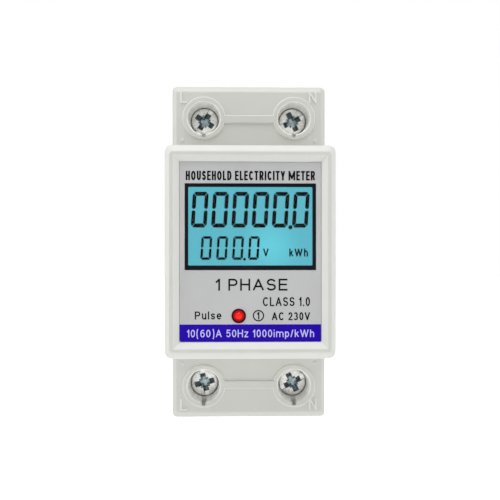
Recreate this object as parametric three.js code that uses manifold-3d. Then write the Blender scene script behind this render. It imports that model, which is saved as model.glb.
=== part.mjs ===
// A two-module DIN-rail electricity meter, as an assembly of separate closed solids.
// Units are millimetres. X is the width, Z is up, and the front faces -Y. The origin is the centre
// of the rail seat: the rail lies behind the plane y = 0, and the face of the meter is in front of it.
import * as THREE from "three";
import { mergeVertices } from "three/addons/utils/BufferGeometryUtils.js";
import Module from "manifold-3d";

const wasm = await Module();
wasm.setup();

// ---------------------------------------------------------------------------------------------
// Driving dimensions
// ---------------------------------------------------------------------------------------------

const MODULE_W = 18; // one DIN module
const BODY_W = 2 * MODULE_W;
const BODY_H = 78;
const NOSE_H = 45; // the part that stands through a distribution board's cover
const HALF_W = BODY_W / 2;
const HALF_H = BODY_H / 2;

// Planes along the depth, from the rear to the front
const Y_REAR = 6;
const Y_SEAT = 0;
const Y_SPLIT = -22; // parting plane of the two housing shells
const Y_SHOULDER = -40;
const Y_FRONT = -58;

const OUTER_WALL = 1.8;
const NOSE_WALL = 1.6;
const CORNER_R = 1.5;
const CORNER_STEPS = 3;
const ROUND = 28; // facets of a hole or collar
const SMALL_ROUND = 12; // facets of a post or shank
const TOUCH = 0.05; // gap left between pieces that touch
const PAST = 1; // how far a cutting tool runs past the face it cuts

// Bevel around the front edge of the nose and of the shoulders, as its width on each side
const FRONT_BEVEL = { x: 0.9, z: 1.4, y: 0.9 };

const CAVITY_HALF_W = HALF_W - OUTER_WALL;
const CAVITY_HALF_H = 23.5; // the room for the electronics, between the two partitions
const PARTITION_OUT = 25.5; // outer face of each partition

// Rail: 35 mm top-hat rail
const RAIL_SLOT_HALF = 18;
const RAIL_GROOVE = 1.5; // depth of the groove that takes the rail's flange
const HOOK_REACH = 2.2;

// Terminals, one in each corner
const TERMINAL_X = 10.6;
const TERMINAL_Z = 31.5;
const CHAMBER_HALF_W = 5.4;
const CHAMBER_END = 37; // inner face of the end wall
const Y_CHAMBER_FLOOR = -10.5;
const CHAMBER_X = [TERMINAL_X - CHAMBER_HALF_W, TERMINAL_X + CHAMBER_HALF_W];
const WIRE_HOLE_R = 4;
const WIRE_FUNNEL_R = 4.8;
const Y_WIRE = -16.5;
const ACCESS_R = 3.8;
const COLLAR_R = 5.15;
const COLLAR_RISE = 0.4;

// Terminal screw and lifting clamp cage
const SCREW_HEAD_R = 3.2;
const SCREW_SHANK_R = 2.35;
const Y_SCREW_HEAD = -35.6;
const Y_SCREW_NECK = -33.2;
const Y_SCREW_TIP = -22;
const CAGE = { width: 10, length: 8, side: 1.2, floor: 1.5, nut: 3, yFront: -25.25, yRear: -11 };

// Current bars
const BAR_HALF_W = 3.5;
const BAR_END_Z = 35.3;
const Y_BAR_FRONT = -21.9;
const Y_BAR_REAR = -20.4;
const SHUNT_HALF = 4;

// Face: a label sunk in the nose, with a bevelled frame around it
const LABEL_HALF_W = 15;
const LABEL_HALF_H = 19;
const FRAME_SLOPE = { x: 1.24, z: 1.35 }; // how much the frame widens per millimetre of depth
const Y_LABEL = -57;
const LABEL_T = 0.35;
const DISPLAY_Z = 5.3;
const MASK = { halfW: 13.8, halfH: 9.1, innerHalfW: 13.1, innerHalfH: 8.4 };
const WINDOW = { halfW: 13.6, halfH: 8.9 };
const LED_X = -2.46;
const LED_Z = -13.47;
const LED_RING_R = 1.5;
const LED_LENS_R = 1.12;

// Circuit board
const Y_PCB_FRONT = -47.6;
const Y_PCB_REAR = -46;
const PCB_POST_X = 14;
const PCB_POST_Z = 18.6;
const PCB_POST_R = 1.9;

// Case screws, on the centre line, driven in from the rear
const CASE_SCREW_Z = 24.5;
const CASE_POST_R = 3.2;
const Y_CASE_SCREW_SEAT = -6;
const CASE_SCREW = { headR: 2.6, headT: 2, shankR: 1.15, length: 23 };
const BOARD_SCREW = { headR: 1.7, headT: 1.3, shankR: 0.8, length: 5.5 };

// Rail latch
const CHANNEL_HALF_W = 7;
const CHANNEL_MOUTH_HALF_W = 5.3;
const Y_CHANNEL_FLOOR = 1;
const Y_CHANNEL_LIP = 4.5;
const LATCH_LUG = { halfW: 1.4, bottom: -36.9, top: -35.4 };
const LATCH_TOP = -18.6;
const LATCH_BOTTOM = -38;
const SPRING = { y: 2.65, coilR: 1.1, wireR: 0.2, turns: 5, bottom: -35.3, top: -27.6 };

// ---------------------------------------------------------------------------------------------
// Materials
// ---------------------------------------------------------------------------------------------

const material = (color, roughness, metalness = 0, opacity = 1) =>
  new THREE.MeshStandardMaterial({ color, roughness, metalness, opacity, transparent: opacity < 1 });

const MATERIALS = {
  housing: material(0xdcdcd6, 0.45),
  latch: material(0xc9cac5, 0.45),
  label: material(0xb9b9bb, 0.4, 0.1),
  black: material(0x101114, 0.5),
  clear: material(0xf2f6f8, 0.05, 0, 0.35),
  polariser: material(0x9fd0d8, 0.3, 0, 0.5),
  glass: material(0xdfeeee, 0.05, 0, 0.35),
  backlight: material(0x62c4d6, 0.4),
  whitePlastic: material(0xf0f0ee, 0.5),
  board: material(0x1d5a35, 0.5),
  steel: material(0xb9bec0, 0.3, 1),
  copper: material(0xb8734a, 0.3, 1),
  manganin: material(0x9c8f86, 0.35, 1),
  film: material(0x2f6fb4, 0.45),
  sleeve: material(0x23252b, 0.4),
  ceramic: material(0x2a63ad, 0.5),
  led: material(0xe0201c, 0.15, 0, 0.85),
  redWire: material(0xb3241f, 0.5),
  blueWire: material(0x1f4fa0, 0.5),
  whiteWire: material(0xe6e4dc, 0.5),
  brownWire: material(0x6b3d22, 0.5),
};

// ---------------------------------------------------------------------------------------------
// Solids
// ---------------------------------------------------------------------------------------------

/** A closed three.js geometry as a solid. */
function solid(geometry) {
  const bare = geometry.index ? geometry.toNonIndexed() : geometry.clone();
  bare.deleteAttribute("normal");
  bare.deleteAttribute("uv");
  const merged = mergeVertices(bare, 1e-4);
  return new wasm.Manifold(
    new wasm.Mesh({
      numProp: 3,
      vertProperties: merged.attributes.position.array,
      triVerts: new Uint32Array(merged.index.array),
    }),
  );
}

const asSolid = (shape) => (shape.isBufferGeometry ? solid(shape) : shape);
const join = (...shapes) => shapes.map(asSolid).reduce((all, next) => all.add(next));
const cut = (base, ...tools) => tools.map(asSolid).reduce((left, tool) => left.subtract(tool), asSolid(base));

/** A named mesh from a solid or a closed geometry. */
function piece(name, shape, finish) {
  let geometry = shape;
  if (!shape.isBufferGeometry) {
    const made = shape.getMesh();
    geometry = new THREE.BufferGeometry();
    geometry.setAttribute("position", new THREE.BufferAttribute(made.vertProperties, 3));
    geometry.setIndex(new THREE.BufferAttribute(made.triVerts, 1));
    geometry.computeVertexNormals();
  }
  const mesh = new THREE.Mesh(geometry, finish);
  mesh.name = name;
  return mesh;
}

/** A box given by its lowest and highest value on each axis. */
function box([x0, x1], [y0, y1], [z0, z1]) {
  const geometry = new THREE.BoxGeometry(x1 - x0, y1 - y0, z1 - z0);
  return geometry.translate((x0 + x1) / 2, (y0 + y1) / 2, (z0 + z1) / 2);
}

/** A box that is symmetric about x = 0 and spans z0..z1. */
const bar = (halfW, ys, zs) => box([-halfW, halfW], ys, zs);

/** A round rod along Y. Its radius may differ at the rear end. */
function rodY(radius, [y0, y1], x = 0, z = 0, sides = ROUND, rearRadius = radius) {
  const geometry = new THREE.CylinderGeometry(rearRadius, radius, y1 - y0, sides);
  return geometry.translate(x, (y0 + y1) / 2, z);
}

/** A round rod along Z. Its radius may differ at the upper end. */
function rodZ(radius, [z0, z1], x = 0, y = 0, sides = ROUND, upperRadius = radius) {
  const geometry = new THREE.CylinderGeometry(upperRadius, radius, z1 - z0, sides);
  return geometry.rotateX(Math.PI / 2).translate(x, y, (z0 + z1) / 2);
}

/** A round rod along X. */
const rodX = (radius, [x0, x1], y, z) =>
  new THREE.CylinderGeometry(radius, radius, x1 - x0, SMALL_ROUND)
    .rotateZ(Math.PI / 2)
    .translate((x0 + x1) / 2, y, z);

/** The points of a rounded rectangle in the XZ plane, counter-clockwise as seen from the front. */
function roundedOutline(width, height, radius) {
  const corners = [[1, 1], [-1, 1], [-1, -1], [1, -1]];
  return corners.flatMap(([sx, sz], corner) =>
    Array.from({ length: CORNER_STEPS + 1 }, (_, step) => {
      const angle = ((corner + step / CORNER_STEPS) * Math.PI) / 2;
      const x = sx * (width / 2 - radius) + radius * Math.cos(angle);
      return [x, sz * (height / 2 - radius) + radius * Math.sin(angle)];
    }),
  );
}

/** A solid through rounded rectangles {y, w, h, r}, listed from the front to the rear. */
function loftY(sections) {
  const rings = sections.map(({ y, w, h, r }) => roundedOutline(w, h, r).map(([x, z]) => [x, y, z]));
  const count = rings[0].length;
  const front = [0, sections[0].y, 0];
  const rear = [0, sections.at(-1).y, 0];
  const triangles = [];
  for (let i = 0; i < count; i++) {
    const next = (i + 1) % count;
    triangles.push(front, rings[0][i], rings[0][next]);
    triangles.push(rear, rings.at(-1)[next], rings.at(-1)[i]);
    for (let k = 0; k + 1 < rings.length; k++) {
      triangles.push(rings[k][i], rings[k + 1][i], rings[k][next]);
      triangles.push(rings[k + 1][i], rings[k + 1][next], rings[k][next]);
    }
  }
  const geometry = new THREE.BufferGeometry();
  return geometry.setAttribute("position", new THREE.Float32BufferAttribute(triangles.flat(), 3));
}

/** A plate with the outline of a polygon in the YZ plane, given as [y, z] points, spanning x0..x1. */
function prismX(points, [x0, x1]) {
  const outline = new THREE.Shape(points.map(([y, z]) => new THREE.Vector2(y, z)));
  const geometry = new THREE.ExtrudeGeometry(outline, { depth: x1 - x0, bevelEnabled: false });
  // the outline's own x and y become Y and Z, and the extrusion runs along +X
  const axes = new THREE.Matrix4().set(0, 0, 1, x0, 1, 0, 0, 0, 0, 1, 0, 0, 0, 0, 0, 1);
  return geometry.applyMatrix4(axes);
}

/** A round section swept along a curve. */
function swept(curve, radius, steps, sides = 6) {
  const section = new THREE.Shape(
    Array.from({ length: sides }, (_, i) => {
      const angle = (2 * Math.PI * i) / sides;
      return new THREE.Vector2(radius * Math.cos(angle), radius * Math.sin(angle));
    }),
  );
  return new THREE.ExtrudeGeometry(section, { steps, extrudePath: curve, bevelEnabled: false });
}

const BOTH = [-1, 1];
const CORNERS = BOTH.flatMap((sx) => BOTH.map((sz) => [sx, sz]));

/** An interval mirrored to the side given by sign. */
const side = (sign, [a, b]) => (sign > 0 ? [a, b] : [-b, -a]);

/** The interval of the given half width around a middle. */
const around = (middle, half) => [middle - half, middle + half];

/** One copy of a shape per case screw, given the height of that screw. */
const atCaseScrews = (shape) => BOTH.map((sz) => shape(sz * CASE_SCREW_Z));

/** One copy of a shape per terminal, given the place of its screw and the signs of its corner. */
const atTerminals = (shape) =>
  CORNERS.map(([sx, sz]) => shape({ x: sx * TERMINAL_X, z: sz * TERMINAL_Z, sx, sz }));

/** One copy of a shape per corner post of the board. */
const atBoardPosts = (shape) => CORNERS.map(([sx, sz]) => shape(sx * PCB_POST_X, sz * PCB_POST_Z));

// ---------------------------------------------------------------------------------------------
// Housing
// ---------------------------------------------------------------------------------------------

const CORE_HALF_W = 3.7; // hollow core between the two terminals of an end
const CORE_NEAR = 28.2;
const HOOK_Z = { near: 9.5, far: 14.5 }; // snap hooks, one in each quarter of the long sides
const HOOK_WINDOW_Y = [-19.2, -17.2];
const HOOK_T = 1.15;

/** Rooms that both shells share: one for the electronics, one per terminal, and a core at each end. */
function rooms([y0, y1], coreEnd = y1, chamberEnd = y1) {
  const electronics = bar(CAVITY_HALF_W, [y0, y1], around(0, CAVITY_HALF_H));
  const chambers = atTerminals(({ sx, sz }) =>
    box(side(sx, CHAMBER_X), [y0, chamberEnd], side(sz, [PARTITION_OUT, CHAMBER_END])),
  );
  const cores = BOTH.map((sz) => bar(CORE_HALF_W, [y0, coreEnd], side(sz, [CORE_NEAR, CHAMBER_END])));
  return [electronics, ...chambers, ...cores];
}

/** Wire entries through the end walls, each with a short funnel. */
function wireEntries() {
  return atTerminals(({ x, sz }) => {
    const bore = rodZ(WIRE_HOLE_R, side(sz, [CHAMBER_END - PAST, HALF_H + PAST]), x, Y_WIRE);
    const [lower, upper] = sz > 0 ? [WIRE_HOLE_R, WIRE_FUNNEL_R] : [WIRE_FUNNEL_R, WIRE_HOLE_R];
    const funnel = rodZ(lower, side(sz, [HALF_H - 1, HALF_H + 0.01]), x, Y_WIRE, ROUND, upper);
    return join(bore, funnel);
  });
}

/** Pockets that keep the thick rear ends of the moulding to an even wall. */
function coring() {
  const columns = { upper: [[4.4, 9.6], [10.8, 16]], lower: [[8.8, 16]] };
  const rows = [
    { z: [20.4, 25], floor: Y_SEAT },
    { z: [26.2, 30.8], floor: Y_CHAMBER_FLOOR + 1.5 },
    { z: [32, 36.8], floor: Y_CHAMBER_FLOOR + 1.5 },
  ];
  return CORNERS.flatMap(([sx, sz]) =>
    (sz > 0 ? columns.upper : columns.lower).flatMap((xs) =>
      rows.map(({ z, floor }) => box(side(sx, xs), [floor, Y_REAR + PAST], side(sz, z))),
    ),
  );
}

/** Slot for the rail, with the groove above it that hangs on the rail's upper flange. */
function railSlot() {
  const width = HALF_W + PAST;
  const hookZ = RAIL_SLOT_HALF - HOOK_REACH;
  return join(
    bar(width, [Y_SEAT, Y_REAR + PAST], [-RAIL_SLOT_HALF, hookZ]),
    bar(width, [Y_SEAT, Y_SEAT + RAIL_GROOVE], [hookZ - PAST, RAIL_SLOT_HALF]),
  );
}

/** Undercut channel in which the latch slides, open at the bottom end and into the rail slot. */
function latchChannel() {
  const zs = [-HALF_H - PAST, -RAIL_SLOT_HALF + PAST];
  return join(
    bar(CHANNEL_HALF_W, [Y_CHANNEL_FLOOR, Y_CHANNEL_LIP], zs),
    bar(CHANNEL_MOUTH_HALF_W, [Y_CHANNEL_FLOOR, Y_REAR + PAST], zs),
  );
}

/** Rear shell: rail seat, fixed hook, terminal chambers, latch channel and cored ends. */
function rearHousing() {
  const front = Y_SPLIT + TOUCH;
  const [seam, heel] = [0.3, 0.8];
  const outside = loftY([
    { y: front, w: BODY_W - 2 * seam, h: BODY_H - 2 * seam, r: CORNER_R - seam },
    { y: front + seam, w: BODY_W, h: BODY_H, r: CORNER_R },
    { y: Y_REAR - heel, w: BODY_W, h: BODY_H, r: CORNER_R },
    { y: Y_REAR, w: BODY_W - 2 * heel, h: BODY_H - 2 * heel, r: CORNER_R - heel },
  ]);
  const open = front - PAST;
  const floor = Y_SEAT - OUTER_WALL;
  const inside = rooms([open, floor], Y_SEAT - 1, Y_CHAMBER_FLOOR);
  const shell = cut(outside, ...inside, railSlot(), latchChannel(), ...wireEntries(), ...coring());

  const lug = bar(
    LATCH_LUG.halfW,
    [Y_CHANNEL_FLOOR - 0.5, Y_CHANNEL_LIP - 0.5],
    [LATCH_LUG.bottom, LATCH_LUG.top],
  );
  const posts = atCaseScrews((z) => rodY(CASE_POST_R, [front, floor + 0.5], 0, z, SMALL_ROUND));
  const screwHoles = atCaseScrews((z) =>
    join(
      rodY(CASE_SCREW.headR + 0.3, [Y_CASE_SCREW_SEAT, Y_REAR + PAST], 0, z, SMALL_ROUND),
      rodY(CASE_SCREW.shankR + 0.45, [open, Y_CASE_SCREW_SEAT + 0.1], 0, z, SMALL_ROUND),
    ),
  );
  const barNotches = atTerminals(({ x, sz }) =>
    box(
      around(x, BAR_HALF_W + 0.15),
      [open, Y_BAR_REAR + TOUCH],
      side(sz, [CAVITY_HALF_H - PAST, PARTITION_OUT + PAST]),
    ),
  );
  const hookWindows = CORNERS.map(([sx, sz]) =>
    box(
      side(sx, [CAVITY_HALF_W - PAST, HALF_W + PAST]),
      HOOK_WINDOW_Y,
      side(sz, [HOOK_Z.near + 0.2, HOOK_Z.far - 0.2]),
    ),
  );
  return cut(join(shell, lug, ...posts), ...barNotches, ...hookWindows, ...screwHoles);
}

/** Outside of the front shell: two shoulders over the terminals, and the nose between them. */
function frontOutside() {
  const rear = Y_SPLIT - TOUCH;
  const seam = 0.3;
  const beveled = (front, height, back) => [
    { y: front, w: BODY_W - 2 * FRONT_BEVEL.x, h: height - 2 * FRONT_BEVEL.z, r: CORNER_R / 2 },
    { y: front + FRONT_BEVEL.y, w: BODY_W, h: height, r: CORNER_R },
    { y: back, w: BODY_W, h: height, r: CORNER_R },
  ];
  const seamEnd = { y: rear, w: BODY_W - 2 * seam, h: BODY_H - 2 * seam, r: CORNER_R - seam };
  const shoulders = loftY([...beveled(Y_SHOULDER, BODY_H, rear - seam), seamEnd]);
  const nose = loftY(beveled(Y_FRONT, NOSE_H, Y_SHOULDER + 10));
  return join(shoulders, nose);
}

/** Sunk seat of the label, whose walls slope out to the frame around the face. */
function labelSeat() {
  const floor = { w: 2 * LABEL_HALF_W, h: 2 * LABEL_HALF_H, r: 0.1 };
  const depth = Y_LABEL - Y_FRONT + 0.2;
  const mouth = {
    y: Y_LABEL - depth,
    w: floor.w + 2 * FRAME_SLOPE.x * depth,
    h: floor.h + 2 * FRAME_SLOPE.z * depth,
    r: floor.r + 0.1,
  };
  return loftY([mouth, { ...floor, y: Y_LABEL }, { ...floor, y: Y_LABEL + LABEL_T + TOUCH }]);
}

/** Snap hook on the front shell's long side: root, tongue and barb. */
function snapHook([sx, sz]) {
  const innerX = CAVITY_HALF_W - HOOK_T;
  const zs = side(sz, [HOOK_Z.near, HOOK_Z.far]);
  const rootY = Y_SPLIT - 4;
  return join(
    box(side(sx, [innerX, CAVITY_HALF_W + 0.5]), [rootY, Y_SPLIT - 0.5], zs),
    box(side(sx, [innerX, CAVITY_HALF_W - 0.1]), [rootY, HOOK_WINDOW_Y[1] + 1.4], zs),
    box(
      side(sx, [innerX, CAVITY_HALF_W + 0.9]),
      [HOOK_WINDOW_Y[0] + 0.25, HOOK_WINDOW_Y[1] - 0.25],
      side(sz, [HOOK_Z.near + 0.5, HOOK_Z.far - 0.5]),
    ),
  );
}

/** Front shell: the nose with its framed face, and the two shoulders over the terminals. */
function frontCover() {
  const collarY = Y_SHOULDER - COLLAR_RISE;
  const faceWallY = [Y_LABEL + LABEL_T + TOUCH, Y_LABEL + 2];
  const noseRoom = bar(HALF_W - NOSE_WALL, [faceWallY[1], Y_SHOULDER + 2.5], around(0, 20.9));
  const through = [Y_FRONT, Y_SHOULDER];
  const displayOpening = bar(WINDOW.halfW + 0.1, through, around(DISPLAY_Z, WINDOW.halfH + 0.1));
  const lampHole = rodY(LED_RING_R + 0.1, through, LED_X, LED_Z);
  const shell = cut(
    frontOutside(),
    labelSeat(),
    noseRoom,
    displayOpening,
    lampHole,
    ...rooms([Y_SHOULDER + 2, Y_SPLIT + PAST]),
  );

  const screwTubes = atTerminals(({ x, z }) => rodY(COLLAR_R, [collarY, Y_SCREW_NECK + 0.2], x, z));
  const ribs = BOTH.map((sz) => bar(TERMINAL_X, [collarY, Y_SHOULDER + 0.5], around(sz * TERMINAL_Z, 0.95)));
  const casePosts = atCaseScrews((z) => rodY(CASE_POST_R, [-31, Y_SPLIT - TOUCH], 0, z, SMALL_ROUND));
  const boardPosts = atBoardPosts((x, z) =>
    rodY(PCB_POST_R, [faceWallY[1] - 0.2, Y_PCB_FRONT - TOUCH], x, z, SMALL_ROUND),
  );
  const filled = join(shell, ...screwTubes, ...ribs, ...casePosts, ...boardPosts, ...CORNERS.map(snapHook));

  const accessHoles = atTerminals(({ x, z }) =>
    rodY(ACCESS_R, [collarY - PAST, Y_SCREW_NECK + PAST], x, z),
  );
  const notches = atTerminals(({ x, z }) =>
    box(around(x, 0.45), [collarY - PAST, Y_SHOULDER + 2.6], [z - ACCESS_R - 0.9, z - ACCESS_R + 0.5]),
  );
  const casePilots = atCaseScrews((z) =>
    rodY(CASE_SCREW.shankR + TOUCH, [-30, Y_SPLIT + PAST], 0, z, SMALL_ROUND),
  );
  const boardPilots = atBoardPosts((x, z) =>
    rodY(BOARD_SCREW.shankR + TOUCH, [Y_PCB_FRONT - 4.5, Y_PCB_FRONT + PAST], x, z, SMALL_ROUND),
  );
  return cut(filled, ...accessHoles, ...notches, ...casePilots, ...boardPilots);
}

/** Self-tapping screw about its own axis, with its head at the rear and its underside at y = 0. */
function selfTapper({ headR, headT, shankR, length }) {
  const profile = [
    [0, -length],
    [shankR, shankR - length],
    [shankR, 0],
    [headR, 0],
    [headR, headT * 0.45],
    [headR * 0.75, headT],
    [0, headT],
  ];
  const turned = new THREE.LatheGeometry(profile.map(([r, y]) => new THREE.Vector2(r, y)), SMALL_ROUND);
  const drive = BOTH.map((turn) =>
    bar(headR * 0.55, [headT * 0.45, headT + PAST], around(0, 0.28)).rotateY((turn * Math.PI) / 4),
  );
  return cut(turned, ...drive);
}

function housing() {
  const group = new THREE.Group();
  group.add(piece("rear_housing", rearHousing(), MATERIALS.housing));
  group.add(piece("front_cover", frontCover(), MATERIALS.housing));
  for (const [name, sz] of [["case_screw_upper", 1], ["case_screw_lower", -1]]) {
    const screw = piece(name, selfTapper(CASE_SCREW), MATERIALS.steel);
    screw.position.set(0, Y_CASE_SCREW_SEAT + TOUCH, sz * CASE_SCREW_Z);
    group.add(screw);
  }
  return group;
}

// ---------------------------------------------------------------------------------------------
// Face and display
// ---------------------------------------------------------------------------------------------

function face() {
  const group = new THREE.Group();
  const labelYs = [Y_LABEL, Y_LABEL + LABEL_T];
  const through = [Y_FRONT, Y_SHOULDER];
  const label = cut(
    bar(LABEL_HALF_W - TOUCH, labelYs, around(0, LABEL_HALF_H - TOUCH)),
    bar(MASK.halfW + TOUCH, through, around(DISPLAY_Z, MASK.halfH + TOUCH)),
    rodY(LED_RING_R + TOUCH, through, LED_X, LED_Z),
  );
  const mask = cut(
    bar(MASK.halfW, labelYs, around(DISPLAY_Z, MASK.halfH)),
    bar(MASK.innerHalfW, through, around(DISPLAY_Z, MASK.innerHalfH)),
  );
  const ring = cut(
    rodY(LED_RING_R, [Y_LABEL - 0.12, Y_LABEL + LABEL_T], LED_X, LED_Z),
    rodY(LED_LENS_R, through, LED_X, LED_Z),
  );
  const windowYs = [labelYs[1] + TOUCH, labelYs[1] + 1.2];
  const window_ = bar(WINDOW.halfW, windowYs, around(DISPLAY_Z, WINDOW.halfH));
  group.add(piece("face_label", label, MATERIALS.label));
  group.add(piece("display_mask", mask, MATERIALS.black));
  group.add(piece("led_ring", ring, MATERIALS.black));
  group.add(piece("display_window", window_, MATERIALS.clear));
  return group;
}

const GLASS = { halfW: 15, halfH: 10.6, t: 1.1, front: -54.65 };
const HOLDER = { halfW: 15.75, wall: 0.55, halfH: 10.3, floorYs: [-49.3, -47.9], front: -54.9 };
const PINS = { perRow: 10, pitch: 2.6, halfW: 0.2, zs: [10.65, 10.9] };

/** Liquid-crystal module, modelled about the centre of the display. */
function displayModule() {
  const group = new THREE.Group();
  group.position.set(0, 0, DISPLAY_Z);
  const layers = [
    ["lcd_front_polariser", 0.6, GLASS.front - 0.25, 0.2, MATERIALS.polariser],
    ["lcd_front_glass", 0, GLASS.front, GLASS.t, MATERIALS.glass],
    ["lcd_rear_glass", 0, GLASS.front + 1.15, GLASS.t, MATERIALS.glass],
    ["lcd_rear_polariser", 0.6, GLASS.front + 2.3, 0.2, MATERIALS.polariser],
    ["backlight_guide", 0.4, GLASS.front + 2.55, 2.5, MATERIALS.backlight],
    ["backlight_reflector", 0.4, GLASS.front + 5.1, 0.2, MATERIALS.whitePlastic],
  ];
  for (const [name, inset, front, thickness, finish] of layers) {
    const sheet = bar(GLASS.halfW - inset, [front, front + thickness], around(0, GLASS.halfH - inset));
    group.add(piece(name, sheet, finish));
  }

  const holderSides = BOTH.map((sx) =>
    box(
      side(sx, [HOLDER.halfW - HOLDER.wall, HOLDER.halfW]),
      [HOLDER.front, HOLDER.floorYs[1]],
      around(0, HOLDER.halfH),
    ),
  );
  const holder = join(bar(HOLDER.halfW, HOLDER.floorYs, around(0, HOLDER.halfH)), ...holderSides);
  group.add(piece("lcd_holder", holder, MATERIALS.whitePlastic));

  for (const [name, sz] of [["lcd_pins_upper", 1], ["lcd_pins_lower", -1]]) {
    const pins = Array.from({ length: PINS.perRow }, (_, i) => {
      const x = (i - (PINS.perRow - 1) / 2) * PINS.pitch;
      return box(around(x, PINS.halfW), [GLASS.front, Y_PCB_FRONT - TOUCH], side(sz, PINS.zs));
    });
    const strip = bar(13, [-51.5, -50.7], side(sz, [PINS.zs[0], PINS.zs[1] + 0.1]));
    group.add(piece(name, join(strip, ...pins), MATERIALS.steel));
  }
  return group;
}

/** Indicator lamp: domed lens, flange, and legs down to the board. */
function pulseLamp() {
  const [domeY, flangeY, flangeT, flangeR] = [-56.05, -51.6, 1, LED_LENS_R + 0.75];
  const dome = Array.from({ length: 7 }, (_, i) => {
    const angle = (i / 6) * (Math.PI / 2);
    return [LED_LENS_R * Math.sin(angle), domeY - LED_LENS_R * Math.cos(angle)];
  });
  const foot = [
    [LED_LENS_R, flangeY - flangeT],
    [flangeR, flangeY - flangeT],
    [flangeR, flangeY],
    [0, flangeY],
  ];
  const profile = [...dome, ...foot].map(([r, y]) => new THREE.Vector2(r, y));
  const lens = new THREE.LatheGeometry(profile, 2 * SMALL_ROUND);
  const legs = BOTH.map((sx) =>
    box(around(sx * 0.7, 0.2), [flangeY - flangeT / 2, Y_PCB_FRONT - TOUCH], around(0, 0.2)),
  );
  const lamp = piece("pulse_lamp", join(lens, ...legs), MATERIALS.led);
  lamp.position.set(LED_X, 0, LED_Z);
  return lamp;
}

// ---------------------------------------------------------------------------------------------
// Circuit board
// ---------------------------------------------------------------------------------------------

const Y_PARTS = Y_PCB_REAR + TOUCH; // the components stand on the board's rear face

/** A chip with gull-wing legs along its two long sides. */
function chip(xs, zs, thickness, legsPerSide) {
  const pitch = (xs[1] - xs[0]) / legsPerSide;
  const legs = Array.from({ length: legsPerSide }, (_, i) =>
    box(around(xs[0] + pitch * (i + 0.5), pitch * 0.2), [Y_PARTS, Y_PARTS + 0.35], [zs[0] - 1, zs[1] + 1]),
  );
  return join(box(xs, [Y_PARTS + 0.15, Y_PARTS + thickness], zs), ...legs);
}

function circuitBoard() {
  const group = new THREE.Group();
  const screwHoles = atBoardPosts((x, z) =>
    rodY(BOARD_SCREW.shankR + 0.35, [Y_PCB_FRONT - PAST, Y_PCB_REAR + PAST], x, z, SMALL_ROUND),
  );
  const board = cut(bar(15.9, [Y_PCB_FRONT, Y_PCB_REAR], around(0, 20.5)), ...screwHoles);
  group.add(piece("main_board", board, MATERIALS.board));

  atBoardPosts((x, z) => {
    const name = `board_screw_${z > 0 ? "upper" : "lower"}_${x > 0 ? "right" : "left"}`;
    const screw = piece(name, selfTapper(BOARD_SCREW), MATERIALS.steel);
    screw.position.set(x, Y_PARTS, z);
    group.add(screw);
  });

  const block = (xs, depth, zs) => box(xs, [Y_PARTS, Y_PARTS + depth], zs);
  const parts = {
    metering_chip: [chip([-7, 3], [-4.2, -0.4], 1.7, 5), MATERIALS.sleeve],
    microcontroller: [chip([4.6, 11.4], [-7.2, -1.2], 1.4, 5), MATERIALS.sleeve],
    optocoupler: [chip([-15, -10.4], [-14.5, -9], 3.4, 2), MATERIALS.sleeve],
    crystal: [block([2, 10.5], 3.4, [15, 18.4]), MATERIALS.steel],
    film_capacitor: [block([-6, 7], 11, [-17.6, -10.1]), MATERIALS.film],
    smoothing_capacitor: [rodY(3.15, [Y_PARTS, Y_PARTS + 8], -2.5, 9.5), MATERIALS.sleeve],
    varistor: [rodZ(4.5, [1.2, 5], 9.4, Y_PARTS + 4.6), MATERIALS.ceramic],
    rectifier_diode_upper: [rodX(1.3, [2, 7.2], Y_PARTS + 1.4, 11.8), MATERIALS.sleeve],
    rectifier_diode_lower: [rodX(1.3, [2, 7.2], Y_PARTS + 1.4, 8.2), MATERIALS.sleeve],
  };
  for (const [name, [shape, finish]] of Object.entries(parts)) {
    group.add(piece(name, shape, finish));
  }
  return group;
}

// ---------------------------------------------------------------------------------------------
// Current path
// ---------------------------------------------------------------------------------------------

const LEAD_R = 0.6;

/** Insulated lead from a bar to the board, given the [x, z] of its two ends. */
function lead([x0, z0], [x1, z1]) {
  const from = Y_BAR_FRONT - TOUCH;
  const to = Y_PARTS;
  const straight = 4;
  const points = [
    [x0, from, z0],
    [x0, from - straight, z0],
    [x0 * 0.7 + x1 * 0.3, (from + to) / 2, z0 * 0.7 + z1 * 0.3],
    [x1, to + straight, z1],
    [x1, to, z1],
  ];
  const route = new THREE.CatmullRomCurve3(points.map((point) => new THREE.Vector3(...point)));
  return swept(route, LEAD_R, 12);
}

function currentPath() {
  const group = new THREE.Group();
  const strip = (x, zs, inset = 0) =>
    box(around(x, BAR_HALF_W), [Y_BAR_FRONT + inset, Y_BAR_REAR - inset], zs);
  const upperEnd = [SHUNT_HALF + TOUCH, BAR_END_Z];
  const parts = {
    line_in_bar: [strip(-TERMINAL_X, upperEnd), MATERIALS.copper],
    line_out_bar: [strip(-TERMINAL_X, side(-1, upperEnd)), MATERIALS.copper],
    current_shunt: [strip(-TERMINAL_X, around(0, SHUNT_HALF), 0.15), MATERIALS.manganin],
    neutral_bar: [strip(TERMINAL_X, around(0, BAR_END_Z)), MATERIALS.copper],
    shunt_lead_in: [lead([-9.6, 5.2], [-9.2, 3.2]), MATERIALS.whiteWire],
    shunt_lead_out: [lead([-9.6, -5.2], [-9.2, 0.6]), MATERIALS.brownWire],
    voltage_lead_line: [lead([-12.4, 10], [-11.2, 12.5]), MATERIALS.redWire],
    voltage_lead_neutral: [lead([10.6, 12], [11.5, 10.5]), MATERIALS.blueWire],
  };
  for (const [name, [shape, finish]] of Object.entries(parts)) {
    group.add(piece(name, shape, finish));
  }
  return group;
}

// ---------------------------------------------------------------------------------------------
// Terminals
// ---------------------------------------------------------------------------------------------

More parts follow.
